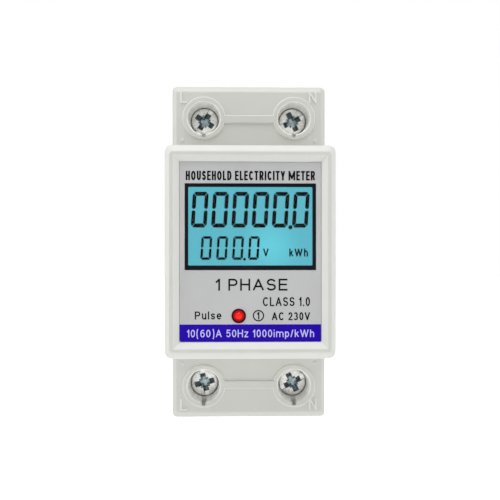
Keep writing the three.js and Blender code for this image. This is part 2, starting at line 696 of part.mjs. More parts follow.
/** Terminal screw about its own axis, with a slot across its head and a shorter cross recess. */
function terminalScrew(slotAngle) {
  const bevelY = Y_SCREW_HEAD + 0.3;
  const body = join(
    rodY(SCREW_HEAD_R - 0.3, [Y_SCREW_HEAD, bevelY], 0, 0, ROUND, SCREW_HEAD_R),
    rodY(SCREW_HEAD_R, [bevelY, Y_SCREW_NECK]),
    rodY(SCREW_SHANK_R, [Y_SCREW_NECK - 0.5, Y_SCREW_TIP], 0, 0, 2 * SMALL_ROUND),
  );
  const above = Y_SCREW_HEAD - PAST;
  const turn = -THREE.MathUtils.degToRad(slotAngle);
  const slot = bar(SCREW_HEAD_R + PAST, [above, Y_SCREW_HEAD + 0.7], around(0, 0.6)).rotateY(turn);
  const arms = [0, Math.PI / 2].map((quarter) =>
    bar(2.4, [above, Y_SCREW_HEAD + 1.6], around(0, 0.58)).rotateY(turn + quarter),
  );
  return cut(body, slot, ...arms);
}

/** Clamp cage: a square ring whose front side is the nut. The wire enters it along Z, behind the bar. */
function clampCage() {
  const { width, length, side: wall, floor, nut, yFront, yRear } = CAGE;
  return cut(
    bar(width / 2, [yFront, yRear], around(0, length / 2)),
    bar(width / 2 - wall, [yFront + nut, yRear - floor], around(0, length)),
    rodY(SCREW_SHANK_R + 0.15, [yFront - PAST, yFront + nut + PAST], 0, 0, 2 * SMALL_ROUND),
  );
}

function terminals() {
  const group = new THREE.Group();
  const places = [
    { name: "line_in", sx: -1, sz: 1, slotAngle: 58 },
    { name: "neutral_in", sx: 1, sz: 1, slotAngle: 25 },
    { name: "line_out", sx: -1, sz: -1, slotAngle: 104 },
    { name: "neutral_out", sx: 1, sz: -1, slotAngle: 27 },
  ];
  for (const { name, sx, sz, slotAngle } of places) {
    const terminal = new THREE.Group();
    terminal.position.set(sx * TERMINAL_X, 0, sz * TERMINAL_Z);
    terminal.add(piece(`screw_${name}`, terminalScrew(slotAngle), MATERIALS.steel));
    terminal.add(piece(`cage_${name}`, clampCage(), MATERIALS.steel));
    group.add(terminal);
  }
  return group;
}

// ---------------------------------------------------------------------------------------------
// Rail latch
// ---------------------------------------------------------------------------------------------

/** Centre line of the latch's compression spring. */
class Helix extends THREE.Curve {
  getPoint(t, target = new THREE.Vector3()) {
    const { y, coilR, wireR, turns, bottom, top } = SPRING;
    const angle = 2 * Math.PI * turns * t;
    const z = THREE.MathUtils.lerp(bottom + wireR, top - wireR, t);
    return target.set(coilR * Math.cos(angle), y + coilR * Math.sin(angle), z);
  }
}

/** Sliding latch: plate under the channel's lips, raised back, hook for the rail and pull tab. */
function railLatch() {
  const plateYs = [Y_CHANNEL_FLOOR + 0.15, Y_CHANNEL_LIP - 0.3];
  const backHalfW = CHANNEL_MOUTH_HALF_W - 0.3;
  const through = [Y_CHANNEL_FLOOR - PAST, Y_REAR + PAST];
  const plate = bar(CHANNEL_HALF_W - 0.3, plateYs, [LATCH_BOTTOM, LATCH_TOP]);
  const back = bar(backHalfW, [plateYs[0], Y_REAR - 0.2], [LATCH_BOTTOM - 0.6, LATCH_TOP]);
  const hookEdge = LATCH_TOP + 2.8;
  const hookProfile = [
    [RAIL_GROOVE + 0.1, LATCH_TOP - 0.4],
    [RAIL_GROOVE + 0.1, hookEdge],
    [RAIL_GROOVE + 0.9, hookEdge],
    [Y_REAR - 1, LATCH_TOP + 0.5],
    [Y_REAR - 1, LATCH_TOP - 0.4],
  ];
  const hook = prismX(hookProfile, around(0, backHalfW));
  const tab = bar(backHalfW - 0.5, plateYs, [LATCH_BOTTOM - 3.2, LATCH_BOTTOM]);
  const tabSlot = bar(2.5, through, [LATCH_BOTTOM - 2.4, LATCH_BOTTOM - 1.2]);
  const springWindow = bar(LATCH_LUG.halfW + 0.2, through, [LATCH_LUG.bottom - 0.1, SPRING.top + 0.1]);
  return cut(join(plate, back, hook, tab), tabSlot, springWindow);
}

function latch() {
  const group = new THREE.Group();
  group.add(piece("rail_latch", railLatch(), MATERIALS.latch));
  group.add(piece("latch_spring", swept(new Helix(), SPRING.wireR, 10 * SPRING.turns, 5), MATERIALS.steel));
  return group;
}

const meter = new THREE.Group();
meter.add(housing(), face(), displayModule(), pulseLamp());
meter.add(circuitBoard(), currentPath(), terminals(), latch());

export default meter;
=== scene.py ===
"""A two-module DIN-rail electricity meter, in metres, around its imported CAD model.

The helpers below work in millimetres in the same frame: X is the width, Z is up, and the front
faces -Y. place() turns a finished shape into a piece in metres.
"""

import math

import bmesh
import bpy
from mathutils import Matrix, Vector


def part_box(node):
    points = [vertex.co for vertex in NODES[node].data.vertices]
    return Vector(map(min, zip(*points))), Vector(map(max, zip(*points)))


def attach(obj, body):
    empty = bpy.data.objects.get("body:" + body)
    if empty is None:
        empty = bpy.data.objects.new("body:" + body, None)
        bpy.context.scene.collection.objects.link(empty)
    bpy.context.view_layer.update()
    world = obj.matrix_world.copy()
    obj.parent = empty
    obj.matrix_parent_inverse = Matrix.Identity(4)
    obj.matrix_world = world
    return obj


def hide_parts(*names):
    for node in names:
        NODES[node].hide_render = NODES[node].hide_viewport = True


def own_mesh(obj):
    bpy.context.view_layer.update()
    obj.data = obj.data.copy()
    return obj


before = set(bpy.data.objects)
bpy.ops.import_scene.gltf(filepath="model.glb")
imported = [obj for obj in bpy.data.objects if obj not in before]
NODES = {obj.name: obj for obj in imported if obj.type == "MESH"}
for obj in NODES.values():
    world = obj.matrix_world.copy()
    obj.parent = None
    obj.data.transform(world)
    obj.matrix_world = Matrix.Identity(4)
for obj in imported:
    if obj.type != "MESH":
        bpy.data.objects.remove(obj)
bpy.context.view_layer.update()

MM = 0.001
scene = bpy.context.scene


# ---- Driving sizes, in millimetres, read from the CAD nodes ----


def spans(node):
    """The (lowest, highest) value of a CAD node on X, Y and Z."""
    low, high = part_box(node)
    return [(low[axis] / MM, high[axis] / MM) for axis in range(3)]


def middle(span):
    return (span[0] + span[1]) / 2


COVER_X, COVER_Y, COVER_Z = spans("front_cover")
REAR_Y = spans("rear_housing")[1]
LABEL_X, LABEL_Y, LABEL_Z = spans("face_label")
MASK_X, MASK_Y, MASK_Z = spans("display_mask")
WINDOW_X, WINDOW_Y, WINDOW_Z = spans("display_window")
RING_X, RING_Y, RING_Z = spans("led_ring")

HALF_W = COVER_X[1]
HALF_H = COVER_Z[1]
Y_FRONT = COVER_Y[0]
SEAM_GAP = 0.05
Y_SPLIT = REAR_Y[0] - SEAM_GAP
Y_REAR = REAR_Y[1]
NOSE_HALF_H = 22.5
Y_SHOULDER = -40.0
NOSE_CORNER_R = 1.5
BODY_CORNER_R = 1.1
SLIVER = 0.0004  # edges shorter than this are left over from cutting
PAST = 1.0  # how far a cutting shape runs past the face it cuts
THROUGH_FACE = (-60, -50)  # along Y, for a cut through the label and all that lies in it

# the rooms inside the two shells
WALL = 1.8
ROOM_X = HALF_W - WALL
ROOM_Z = 23.5
PARTITION_Z = 25.5
CHAMBER_END_Z = 37.0
CHAMBER_FLOOR_Y = -10.5
CORE_HALF_W = 3.7  # the pocket between two chambers
CORE_Z = 28.2

# the terminals, at (x, z)
TERMINALS = {}
for terminal in ("line_in", "neutral_in", "line_out", "neutral_out"):
    head_x, head_y, head_z = spans(f"screw_{terminal}")
    TERMINALS[terminal] = (middle(head_x), middle(head_z))
SCREW_Y = head_y
SCREW_R = (head_x[1] - head_x[0]) / 2
TERMINAL_X, TERMINAL_Z = TERMINALS["neutral_in"]
CHAMBER_HALF_W = 5.4
ACCESS_R = 3.8
WELL_R = SCREW_R + 0.16
COLLAR_R = 4.95
COLLAR_RISE = 0.4
COLLAR_Y = Y_SHOULDER - COLLAR_RISE
TUBE_END_Y = -33.0
WIRE_R = 4.0
WIRE_Y = -16.5

CASE_SCREW_Z = middle(spans("case_screw_upper")[2])
CASE_POST_R = 3.2
BOARD_POST = (14, 18.6)
BOARD_Y = -47.65  # where the lamp's legs and the posts meet the board
LAMP_X = middle(RING_X)
LAMP_Z = middle(RING_Z)
DISPLAY_Z = middle(MASK_Z)

CORNERS = [(sx, sz) for sx in (-1, 1) for sz in (-1, 1)]  # signs of X and Z


# ---- Solids ----


def wrap(bm, name="solid"):
    """A mesh object made from a bmesh, which is used up."""
    mesh = bpy.data.meshes.new(name)
    bm.to_mesh(mesh)
    bm.free()
    obj = bpy.data.objects.new(name, mesh)
    scene.collection.objects.link(obj)
    return obj


def solid(verts, faces):
    """A closed mesh object with its faces pointing out."""
    mesh = bpy.data.meshes.new("outline")
    mesh.from_pydata([tuple(v) for v in verts], [], faces)
    bm = bmesh.new()
    bm.from_mesh(mesh)
    bpy.data.meshes.remove(mesh)
    bmesh.ops.remove_doubles(bm, verts=bm.verts, dist=1e-5)
    bmesh.ops.recalc_face_normals(bm, faces=bm.faces)
    return wrap(bm)


def discard(objects):
    for obj in objects:
        mesh = obj.data
        bpy.data.objects.remove(obj)
        if mesh.users == 0:
            bpy.data.meshes.remove(mesh)


def settle(obj):
    """Applies the modifiers of an object."""
    evaluated = obj.evaluated_get(bpy.context.evaluated_depsgraph_get())
    mesh = bpy.data.meshes.new_from_object(evaluated)
    obj.modifiers.clear()
    old, obj.data = obj.data, mesh
    bpy.data.meshes.remove(old)
    return obj


def combine(base, tools, operation):
    """The base joined with or cut by each tool in turn. The tools are used up."""
    for tool in tools:
        modifier = base.modifiers.new("combine", "BOOLEAN")
        modifier.object = tool
        modifier.operation = operation
        modifier.solver = "EXACT"
    settle(base)
    discard(tools)
    return base


def join(base, *tools):
    return combine(base, tools, "UNION")


def cut(base, *tools):
    return combine(base, tools, "DIFFERENCE")


def merge(parts):
    """Separate closed shapes kept side by side in one mesh."""
    bm = bmesh.new()
    for part in parts:
        bm.from_mesh(part.data)
    discard(parts)
    return wrap(bm)


def block(xs, ys, zs, bevel=0.0, steps=2):
    """A box between two values on each axis, with its edges rounded."""
    size = [span[1] - span[0] for span in (xs, ys, zs)]
    centre = Matrix.Translation([middle(span) for span in (xs, ys, zs)])
    bm = bmesh.new()
    bmesh.ops.create_cube(bm, size=1, matrix=centre @ Matrix.Diagonal([*size, 1]))
    if bevel:
        bmesh.ops.bevel(bm, geom=list(bm.edges), offset=bevel, segments=steps, profile=0.5,
                        affect="EDGES", clamp_overlap=True)
    return wrap(bm)


def bow(u, v, half_u, half_v, start, end, steps=8):
    """Points on an upright ellipse about (u, v), angles in degrees."""
    angles = [math.radians(start + (end - start) * i / steps) for i in range(steps + 1)]
    return [(u + half_u * math.cos(a), v + half_v * math.sin(a)) for a in angles]


def arc(centre, radius, start, end, steps):
    return bow(*centre, radius, radius, start, end, steps)


def fillet(points, radius, steps=3, closed=True):
    """A polygon or polyline with its corners rounded. radius is one number, or one per point."""
    radii = radius if isinstance(radius, (list, tuple)) else [radius] * len(points)
    rounded = []
    for i, (point, r) in enumerate(zip(points, radii)):
        is_end = not closed and i in (0, len(points) - 1)
        if r == 0 or is_end:
            rounded.append(tuple(point))
            continue
        here = Vector(point)
        before = Vector(points[i - 1]) - here
        after = Vector(points[(i + 1) % len(points)]) - here
        half = before.angle(after) / 2
        reach = min(r / math.tan(half), 0.49 * before.length, 0.49 * after.length)
        first = here + before.normalized() * reach
        last = here + after.normalized() * reach
        for step in range(steps + 1):
            t = step / steps
            curve = first * (1 - t) ** 2 + here * 2 * t * (1 - t) + last * t**2
            rounded.append(tuple(curve))
    return rounded


PLANES = {  # how a point (u, v) at depth w sits in space
    "XZ": lambda u, v, w: (u, w, v),
    "YZ": lambda u, v, w: (w, u, v),
    "XY": lambda u, v, w: (u, v, w),
}


def prism(points, span, plane="XZ"):
    """A polygon in a plane, extruded across a span of the third axis."""
    to_space = PLANES[plane]
    count = len(points)
    verts = [to_space(u, v, w) for w in span for u, v in points]
    faces = [list(range(count)), list(range(count, 2 * count))]
    faces += [(i, (i + 1) % count, (i + 1) % count + count, i + count) for i in range(count)]
    return solid(verts, faces)


def rounded_rectangle(width, height, radius, steps=6, centre=(0, 0)):
    corners = [(1, 1, 0), (-1, 1, 90), (-1, -1, 180), (1, -1, 270)]
    points = []
    for sx, sz, start in corners:
        middle_x = centre[0] + sx * (width / 2 - radius)
        middle_z = centre[1] + sz * (height / 2 - radius)
        points += arc((middle_x, middle_z), radius, start, start + 90, steps)
    return points


def bands(rings, count):
    """Faces between rings of points that are listed one ring after the other."""
    return [(k * count + i, k * count + (i + 1) % count, (k + 1) * count + (i + 1) % count,
             (k + 1) * count + i) for k in range(rings - 1) for i in range(count)]


def loft(sections, steps=6, centre=(0, 0)):
    """A solid through rounded rectangles (y, width, height, radius), listed along Y."""
    outlines = [rounded_rectangle(w, h, r, steps, centre) for _, w, h, r in sections]
    count = len(outlines[0])
    verts = [(x, y, z) for (y, *_), outline in zip(sections, outlines) for x, z in outline]
    faces = [list(range(count)), list(range(len(verts) - count, len(verts)))]
    return solid(verts, faces + bands(len(sections), count))


def lathe(profile, at=(0, 0), axis="Y", steps=48, relief=None):
    """A turned solid from (radius, place along the axis) points that start and end on the axis.

    relief(angle, place) may lower the radius, which cuts a thread.
    """
    rings = profile[1:-1]
    verts = []
    for radius, along in rings:
        for i in range(steps):
            angle = 2 * math.pi * i / steps
            r = radius - (relief(angle, along) if relief else 0)
            u, v = at[0] + r * math.cos(angle), at[1] + r * math.sin(angle)
            verts.append((u, along, v) if axis == "Y" else (u, v, along))
    first, last = len(verts), len(verts) + 1
    for _, along in (profile[0], profile[-1]):
        verts.append((at[0], along, at[1]) if axis == "Y" else (at[0], at[1], along))
    faces = []
    top = (len(rings) - 1) * steps
    for i in range(steps):
        j = (i + 1) % steps
        faces += [(first, i, j), (last, top + i, top + j)]
        for k in range(0, top, steps):
            faces.append((k + i, k + j, k + steps + j, k + steps + i))
    return solid(verts, faces)


def rod(radius, span, at=(0, 0), steps=48):
    near, far = span
    return lathe([(0, near), (radius, near), (radius, far), (0, far)], at, steps=steps)


def tube(path, radius, sides=12):
    """A round section swept along a list of points, with flat ends."""
    points = [Vector(p) for p in path]
    tangents = [(b - a).normalized() for a, b in zip(points, points[1:])]
    tangents.append(tangents[-1])
    normal = tangents[0].orthogonal().normalized()
    verts = []
    for i, (point, tangent) in enumerate(zip(points, tangents)):
        blend = tangent if i == 0 else (tangents[i - 1] + tangent).normalized()
        normal = (normal - blend * normal.dot(blend)).normalized()
        across = blend.cross(normal)
        for k in range(sides):
            angle = 2 * math.pi * k / sides
            verts.append(point + radius * (normal * math.cos(angle) + across * math.sin(angle)))
    faces = [list(range(sides)), list(range(len(verts) - sides, len(verts)))]
    return solid(verts, faces + bands(len(points), sides))


def soften(obj, size):
    """Rounds the sharp edges of an object."""
    modifier = obj.modifiers.new("soften", "BEVEL")
    modifier.width = size
    modifier.segments = 2
    modifier.limit_method = "ANGLE"
    modifier.angle_limit = math.radians(40)
    return settle(obj)


def side(sign, span):
    """A span mirrored to the side that the sign gives."""
    return span if sign > 0 else (-span[1], -span[0])


def around(centre, half):
    return (centre - half, centre + half)


def turned(obj, degrees):
    """The object turned about the Y axis."""
    obj.data.transform(Matrix.Rotation(-math.radians(degrees), 4, "Y"))
    return obj


def shifted(obj, offset):
    obj.data.transform(Matrix.Translation(offset))
    return obj


# ---- Pieces ----


def shade(obj, angle):
    """Smooth shading that keeps flat faces flat and edges over the angle crisp."""
    obj.data.shade_smooth()
    obj.data.set_sharp_from_angle(angle=math.radians(angle))
    modifier = obj.modifiers.new("weighted", "WEIGHTED_NORMAL")
    modifier.keep_sharp = True
    modifier.weight = 60


def place(obj, name, material, body="housing", replaces=(), angle=35, accents=()):
    """Turns a shape in millimetres into a named piece in metres that rides on a body.

    accents are further materials, each with a test of a face that says where it goes.
    """
    mesh = obj.data
    bm = bmesh.new()
    bm.from_mesh(mesh)
    bmesh.ops.remove_doubles(bm, verts=bm.verts, dist=SLIVER)
    bmesh.ops.dissolve_degenerate(bm, edges=bm.edges, dist=SLIVER)
    bm.to_mesh(mesh)
    bm.free()
    obj.name = mesh.name = name
    mesh.materials.clear()
    mesh.materials.append(material)
    for face in mesh.polygons:
        face.material_index = 0
    for index, (finish, test) in enumerate(accents, 1):
        mesh.materials.append(finish)
        for face in mesh.polygons:
            if test(face):
                face.material_index = index
    mesh.transform(Matrix.Scale(MM, 4))
    shade(obj, angle)
    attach(obj, body)
    if replaces:
        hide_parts(*replaces)
    return obj


def dress(node, material):
    materials = NODES[node].data.materials
    materials.clear()
    materials.append(material)


# ---- Materials ----


def feed(tree, socket, value):
    """Sets an input, or links it to the output that feeds it."""
    if isinstance(value, bpy.types.NodeSocket):
        tree.links.new(value, socket)
    else:
        socket.default_value = value


def add_node(tree, kind, *numbered, operation=None, **named):
    """A shader node with its inputs given by their number or by their name."""
    made = tree.nodes.new(f"ShaderNode{kind}")
    if operation:
        made.operation = operation
    for index, value in enumerate(numbered):
        feed(tree, made.inputs[index], value)
    for name, value in named.items():
        feed(tree, made.inputs[name.replace("_", " ")], value)
    return made


class Look:
    """A procedural material with noise for its colour, gloss and relief."""

    def __init__(self, name, roughness=0.45, **settings):
        self.material = bpy.data.materials.new(name)
        self.material.use_nodes = True
        self.tree = self.material.node_tree
        self.shader = self.tree.nodes["Principled BSDF"]
        self.set("Roughness", roughness)
        for socket, value in settings.items():
            self.set(socket.replace("_", " ").title().replace("Ior", "IOR"), value)
        self.place = self.tree.nodes.new("ShaderNodeTexCoord").outputs["Object"]

    def set(self, socket, value):
        feed(self.tree, self.shader.inputs[socket], value)

    def node(self, kind, *numbered, **named):
        return add_node(self.tree, kind, *numbered, **named)

    def noise(self, scale, detail=3.0, stretch=None):
        """Noise whose grains are about 1000 / scale millimetres across."""
        source = self.place
        if stretch:
            source = self.node("Mapping", Vector=source, Scale=stretch).outputs["Vector"]
        return self.node("TexNoise", Vector=source, Scale=scale, Detail=detail).outputs["Fac"]

    def blend(self, factor, low, high, start=0.35, end=0.65):
        """A colour that goes from low to high as the factor goes from start to end."""
        ramp = self.node("ValToRGB", Fac=factor)
        for index, (position, colour) in enumerate(((start, low), (end, high))):
            ramp.color_ramp.elements[index].position = position
            ramp.color_ramp.elements[index].color = (*colour, 1)
        return ramp.outputs["Color"]

    def colour(self, low, high, scale, detail=3.0, stretch=None):
        self.set("Base Color", self.blend(self.noise(scale, detail, stretch), low, high))

    def gloss(self, low, high, scale, detail=3.0, stretch=None):
        """Roughness that varies between two values."""
        spread = self.node("MapRange", self.noise(scale, detail, stretch), 0.3, 0.7, low, high)
        self.set("Roughness", spread.outputs["Result"])

    def relief(self, depth, scale, detail=2.0, stretch=None):
        """Fine surface relief, with its depth in millimetres."""
        height = self.noise(scale, detail, stretch)
        bump = self.node("Bump", Strength=1.0, Distance=depth * MM, Height=height)
        self.set("Normal", bump.outputs["Normal"])


def either_side(colour, spread):
    """The colour made darker and lighter by the spread."""
    return [[min(1, max(0, c + step)) for c in colour] for step in (-spread, spread)]


def plastic(name, colour, roughness=0.45, spread=0.02, grain=2600, depth=0.004, shine=0.5):
    """Moulded plastic with a fine even texture and faint clouding."""
    look = Look(name, Specular_IOR_Level=shine)
    look.colour(*either_side(colour, spread), 90, 4)
    look.gloss(roughness - 0.05, roughness + 0.06, 700)
    look.relief(depth, grain)
    return look.material


def metal(name, colour, roughness=0.3, spread=0.06, stretch=None, metallic=1.0):
    """Metal with streaks or blotches of tone."""
    look = Look(name, Metallic=metallic)
    look.colour(*either_side(colour, spread), 900, 4, stretch)
    look.gloss(roughness - 0.08, roughness + 0.12, 1350, 4, stretch)
    look.relief(0.003, 1800, 3, stretch)
    return look.material


def clear(name, tint=(1, 1, 1), gloss=0.001, roughness=0.03):
    """A thin clear layer that shows what lies behind it and mirrors at a steep angle."""
    look = Look(name, roughness, Metallic=1.0)
    look.colour((0.94, 0.95, 0.96), (1, 1, 1), 40)
    facing = look.node("LayerWeight", Blend=0.5).outputs["Facing"]
    steep = look.node("Math", facing, 5.0, operation="POWER").outputs["Value"]
    mirror = look.node("MapRange", Value=steep, To_Min=gloss, To_Max=1.0).outputs["Result"]
    see = look.node("BsdfTransparent", Color=(*tint, 1)).outputs["BSDF"]
    mix = look.node("MixShader", mirror, see, look.shader.outputs["BSDF"]).outputs["Shader"]
    feed(look.tree, look.tree.nodes["Material Output"].inputs["Surface"], mix)
    return look.material


def backlight_look():
    """Diffuser lit cyan, with a brighter patch near one point, in metres."""
    look = Look("backlight_glow", 0.6, Specular_IOR_Level=0.0)
    look.set("Base Color", (0.01, 0.03, 0.04, 1))
    patch = (0.0044, -0.0525, 0.0012)
    away = look.node("VectorMath", look.place, patch, operation="DISTANCE").outputs["Value"]
    near = look.node("MapRange", away, 0.0003, 0.0078, 1.0, 0.0)
    near.interpolation_type = "SMOOTHSTEP"
    dim, bright = (0.107, 0.474, 0.576), (0.132, 0.61, 0.715)
    look.set("Emission Color", look.blend(near.outputs["Result"], dim, bright, 0.0, 1.0))
    look.set("Emission Strength", 1.0)
    return look.material


ABS = plastic("abs_light_grey", (0.635, 0.64, 0.596), 0.40, 0.008)
# Lighter copy of the grey plastic: a painted highlight on the rounded edges of the collars, ribs
# and moulded letters.
ABS_EDGE_PAINTED_HIGHLIGHT = plastic("abs_edge_painted_highlight", (0.79, 0.795, 0.755), 0.34, 0.008)
# Much lighter copy of the grey plastic: painted light on the walls of the screw wells, in place of
# their shade.
ABS_WELL_PAINTED_LIGHT = plastic("abs_well_painted_light", (0.93, 0.93, 0.90), 0.40, 0.006)
# Lighter copy of the grey plastic: a painted highlight on the sloped frame around the label.
ABS_BEVEL_PAINTED_HIGHLIGHT = plastic("abs_bevel_painted_highlight", (0.725, 0.73, 0.69), 0.40, 0.004, depth=0.002)
LATCH = plastic("abs_latch", (0.56, 0.565, 0.54), 0.4, 0.012)
LABEL = plastic("label_satin", (0.536, 0.536, 0.538), 0.40, 0.015, 5200, 0.002, shine=0.3)
BLACK_TRIM = plastic("trim_black", (0.004, 0.004, 0.007), 0.55, 0.002, depth=0.002, shine=0.12)
BLACK_INK = plastic("ink_black", (0.004, 0.004, 0.006), 0.6, 0.001, depth=0.001, shine=0.1)
BLUE_INK = plastic("ink_blue", (0.019, 0.001, 0.40), 0.5, 0.001, depth=0.001, shine=0.07)
PALE_INK = plastic("ink_pale", (0.56, 0.52, 0.88), 0.5, 0.01, depth=0.001)
SEGMENT = plastic("lcd_segment", (0.001, 0.001, 0.003), 0.6, 0.0004, depth=0.001, shine=0.0)
FOAM = plastic("gasket_foam", (0.012, 0.012, 0.013), 0.8, 0.004, 3800, 0.03, shine=0.1)
ZINC = metal("zinc_plate", (0.90, 0.885, 0.85), 0.32, spread=0.08, metallic=0.65)
# Darker, bluer copy of the zinc: painted shade in the cross recess of the terminal screws.
ZINC_PAINTED_SHADE = metal("zinc_recess_painted_shade", (0.33, 0.40, 0.42), 0.26, spread=0.12, metallic=0.8)
SPRING_STEEL = metal("spring_wire", (0.52, 0.53, 0.54), 0.25)
COPPER = metal("copper_strip", (0.78, 0.40, 0.24), 0.30, stretch=(1, 1, 0.05))
MANGANIN = metal("manganin_strip", (0.46, 0.38, 0.34), 0.34, stretch=(1, 1, 0.05))
CLEAR = clear("window_acrylic", gloss=0.006)
LCD_GLASS = clear("lcd_glass")
POLARISER = clear("lcd_polariser", (0.99, 1.0, 1.0), roughness=0.2)
BACKLIGHT = backlight_look()
WHITE = plastic("white_plastic", (0.80, 0.80, 0.78), 0.5)
BOARD = plastic("board_green", (0.02, 0.12, 0.045), 0.35, 0.01, 1800)
MOULD = plastic("black_mould", (0.02, 0.02, 0.022), 0.5, 0.004)
BLUE_BOX = plastic("film_blue", (0.02, 0.10, 0.42), 0.4, 0.01)
EPOXY = plastic("epoxy_blue", (0.015, 0.09, 0.36), 0.25, 0.01, 700, 0.02)
WIRES = {
    "shunt_lead_in": ("white_insulation", (0.76, 0.75, 0.70)),
    "shunt_lead_out": ("brown_insulation", (0.16, 0.06, 0.025)),
    "voltage_lead_line": ("red_insulation", (0.50, 0.02, 0.015)),
    "voltage_lead_neutral": ("blue_insulation", (0.015, 0.07, 0.38)),
}


def lamp_look():
    """Red lens that glows faintly."""
    look = Look("lamp_lens_red", 0.22, Coat_Weight=0.25, Coat_Roughness=0.12,
                Specular_IOR_Level=0.25)
    look.colour((0.68, 0.006, 0.006), (0.82, 0.012, 0.010), 500)
    look.set("Emission Color", (1.0, 0.012, 0.010, 1))
    look.set("Emission Strength", 0.40)
    look.relief(0.002, 1500)
    return look.material


LAMP = lamp_look()


# ---- Housing shells ----


def edge_sections(y_edge, y_side, height, inset_x, inset_z, corner, blend=0.22, steps=3):
    """Sections of a bevel with softened corners, from the end face at y_edge to the side face."""
    corner_a = [(1 + blend, 0), (1, 0), (1 - blend, blend)]
    corner_b = [(blend, 1 - blend), (0, 1), (0, 1 + blend)]
    sections = []
    for a, b, c in (corner_a, corner_b):
        for i in range(steps + 1):
            t = i / steps
            inset, depth = [a[k] * (1 - t) ** 2 + 2 * b[k] * t * (1 - t) + c[k] * t**2
                            for k in (0, 1)]
            y = y_edge + (y_side - y_edge) * depth
            width = 2 * (HALF_W - inset * inset_x)
            sections.append((y, width, height - 2 * inset * inset_z, corner - inset * 0.6))
    return sections


def rooms(y_front, y_back, chamber_back, core_back):
    """The hollows that both shells share."""
    hollows = [block((-ROOM_X, ROOM_X), (y_front, y_back), (-ROOM_Z, ROOM_Z), 0.3)]
    for sx, sz in CORNERS:
        xs = side(sx, around(TERMINAL_X, CHAMBER_HALF_W))
        zs = side(sz, (PARTITION_Z, CHAMBER_END_Z))
        hollows.append(block(xs, (y_front, chamber_back), zs, 0.25))
    for sz in (-1, 1):
        zs = side(sz, (CORE_Z, CHAMBER_END_Z))
        hollows.append(block(around(0, CORE_HALF_W), (y_front, core_back), zs, 0.25))
    return hollows


def label_seat():
    """The cutter for the sunk seat of the label, with a softened outer edge."""
    floor = LABEL_Y[0]
    half_w, half_h = LABEL_X[1] + SEAM_GAP, LABEL_Z[1] + SEAM_GAP
    slope_x, slope_z = 1.24, 1.35  # how much wider the mouth is than the floor, on each side
    spread = [(Y_FRONT - PAST, 1.16), (Y_FRONT - 0.02, 1.16), (Y_FRONT + 0.02, 1.02),
              (Y_FRONT + 0.06, 0.955), (Y_FRONT + 0.14, 0.86), (floor, 0), (floor + 0.4, 0)]
    return loft([(y, 2 * (half_w + slope_x * share), 2 * (half_h + slope_z * share), 0.12)
                 for y, share in spread], steps=2)


def snap_hook(sx, sz):
    """Root, tongue and barb of a hook on the cover's long side."""
    inner = ROOM_X - 1.15
    zs = side(sz, (9.5, 14.5))
    barb = side(sz, (10.0, 14.0))
    root = block(side(sx, (inner, ROOM_X + 0.5)), (Y_SPLIT - 4, Y_SPLIT - 0.5), zs, 0.1)
    tongue = block(side(sx, (inner, ROOM_X - 0.1)), (Y_SPLIT - 4, -15.8), zs, 0.15)
    slope = [(-0.5, -18.95), (0.9, -18.95), (0.9, -18.2), (-0.1, -17.0), (-0.5, -17.0)]
    return [root, tongue, prism([(sx * (ROOM_X + x), y) for x, y in slope], barb, "XY")]


def collar(x, z):
    """Raised collar of a screw hole, with the guide tube behind it."""
    outline = [(0, COLLAR_Y), (COLLAR_R, COLLAR_Y), (COLLAR_R + 0.12, Y_SHOULDER + 0.3),
               (COLLAR_R, TUBE_END_Y), (0, TUBE_END_Y)]
    return lathe(fillet(outline, [0, 0.24, 0, 0.2, 0], 4, closed=False), (x, z), steps=72)


def access_hole(x, z):
    """The cutter for a screw hole, which flares at its mouth and narrows down to the head."""
    mouth = COLLAR_Y - PAST
    flare = [(0.7, -0.05), (0.2, 0.05), (0.06, 0.16), (0, 0.34)]
    outline = [(0, mouth), (ACCESS_R + 0.7, mouth)]
    outline += [(ACCESS_R + wider, COLLAR_Y + depth) for wider, depth in flare]
    outline += [(WELL_R, SCREW_Y[0] - 0.1), (WELL_R, TUBE_END_Y + PAST), (0, TUBE_END_Y + PAST)]
    return lathe(outline, (x, z), steps=72)


def key_notch(x, z):
    """The cutter for the notch at the foot of a screw hole."""
    edge = z - ACCESS_R
    outline = [(x - 0.5, edge + 0.5), (x - 0.38, edge - 0.72),
               (x + 0.38, edge - 0.72), (x + 0.5, edge + 0.5)]
    return prism(fillet(outline, [0, 0.1, 0.1, 0]), (Y_SHOULDER - 2, Y_SHOULDER + 2.8))


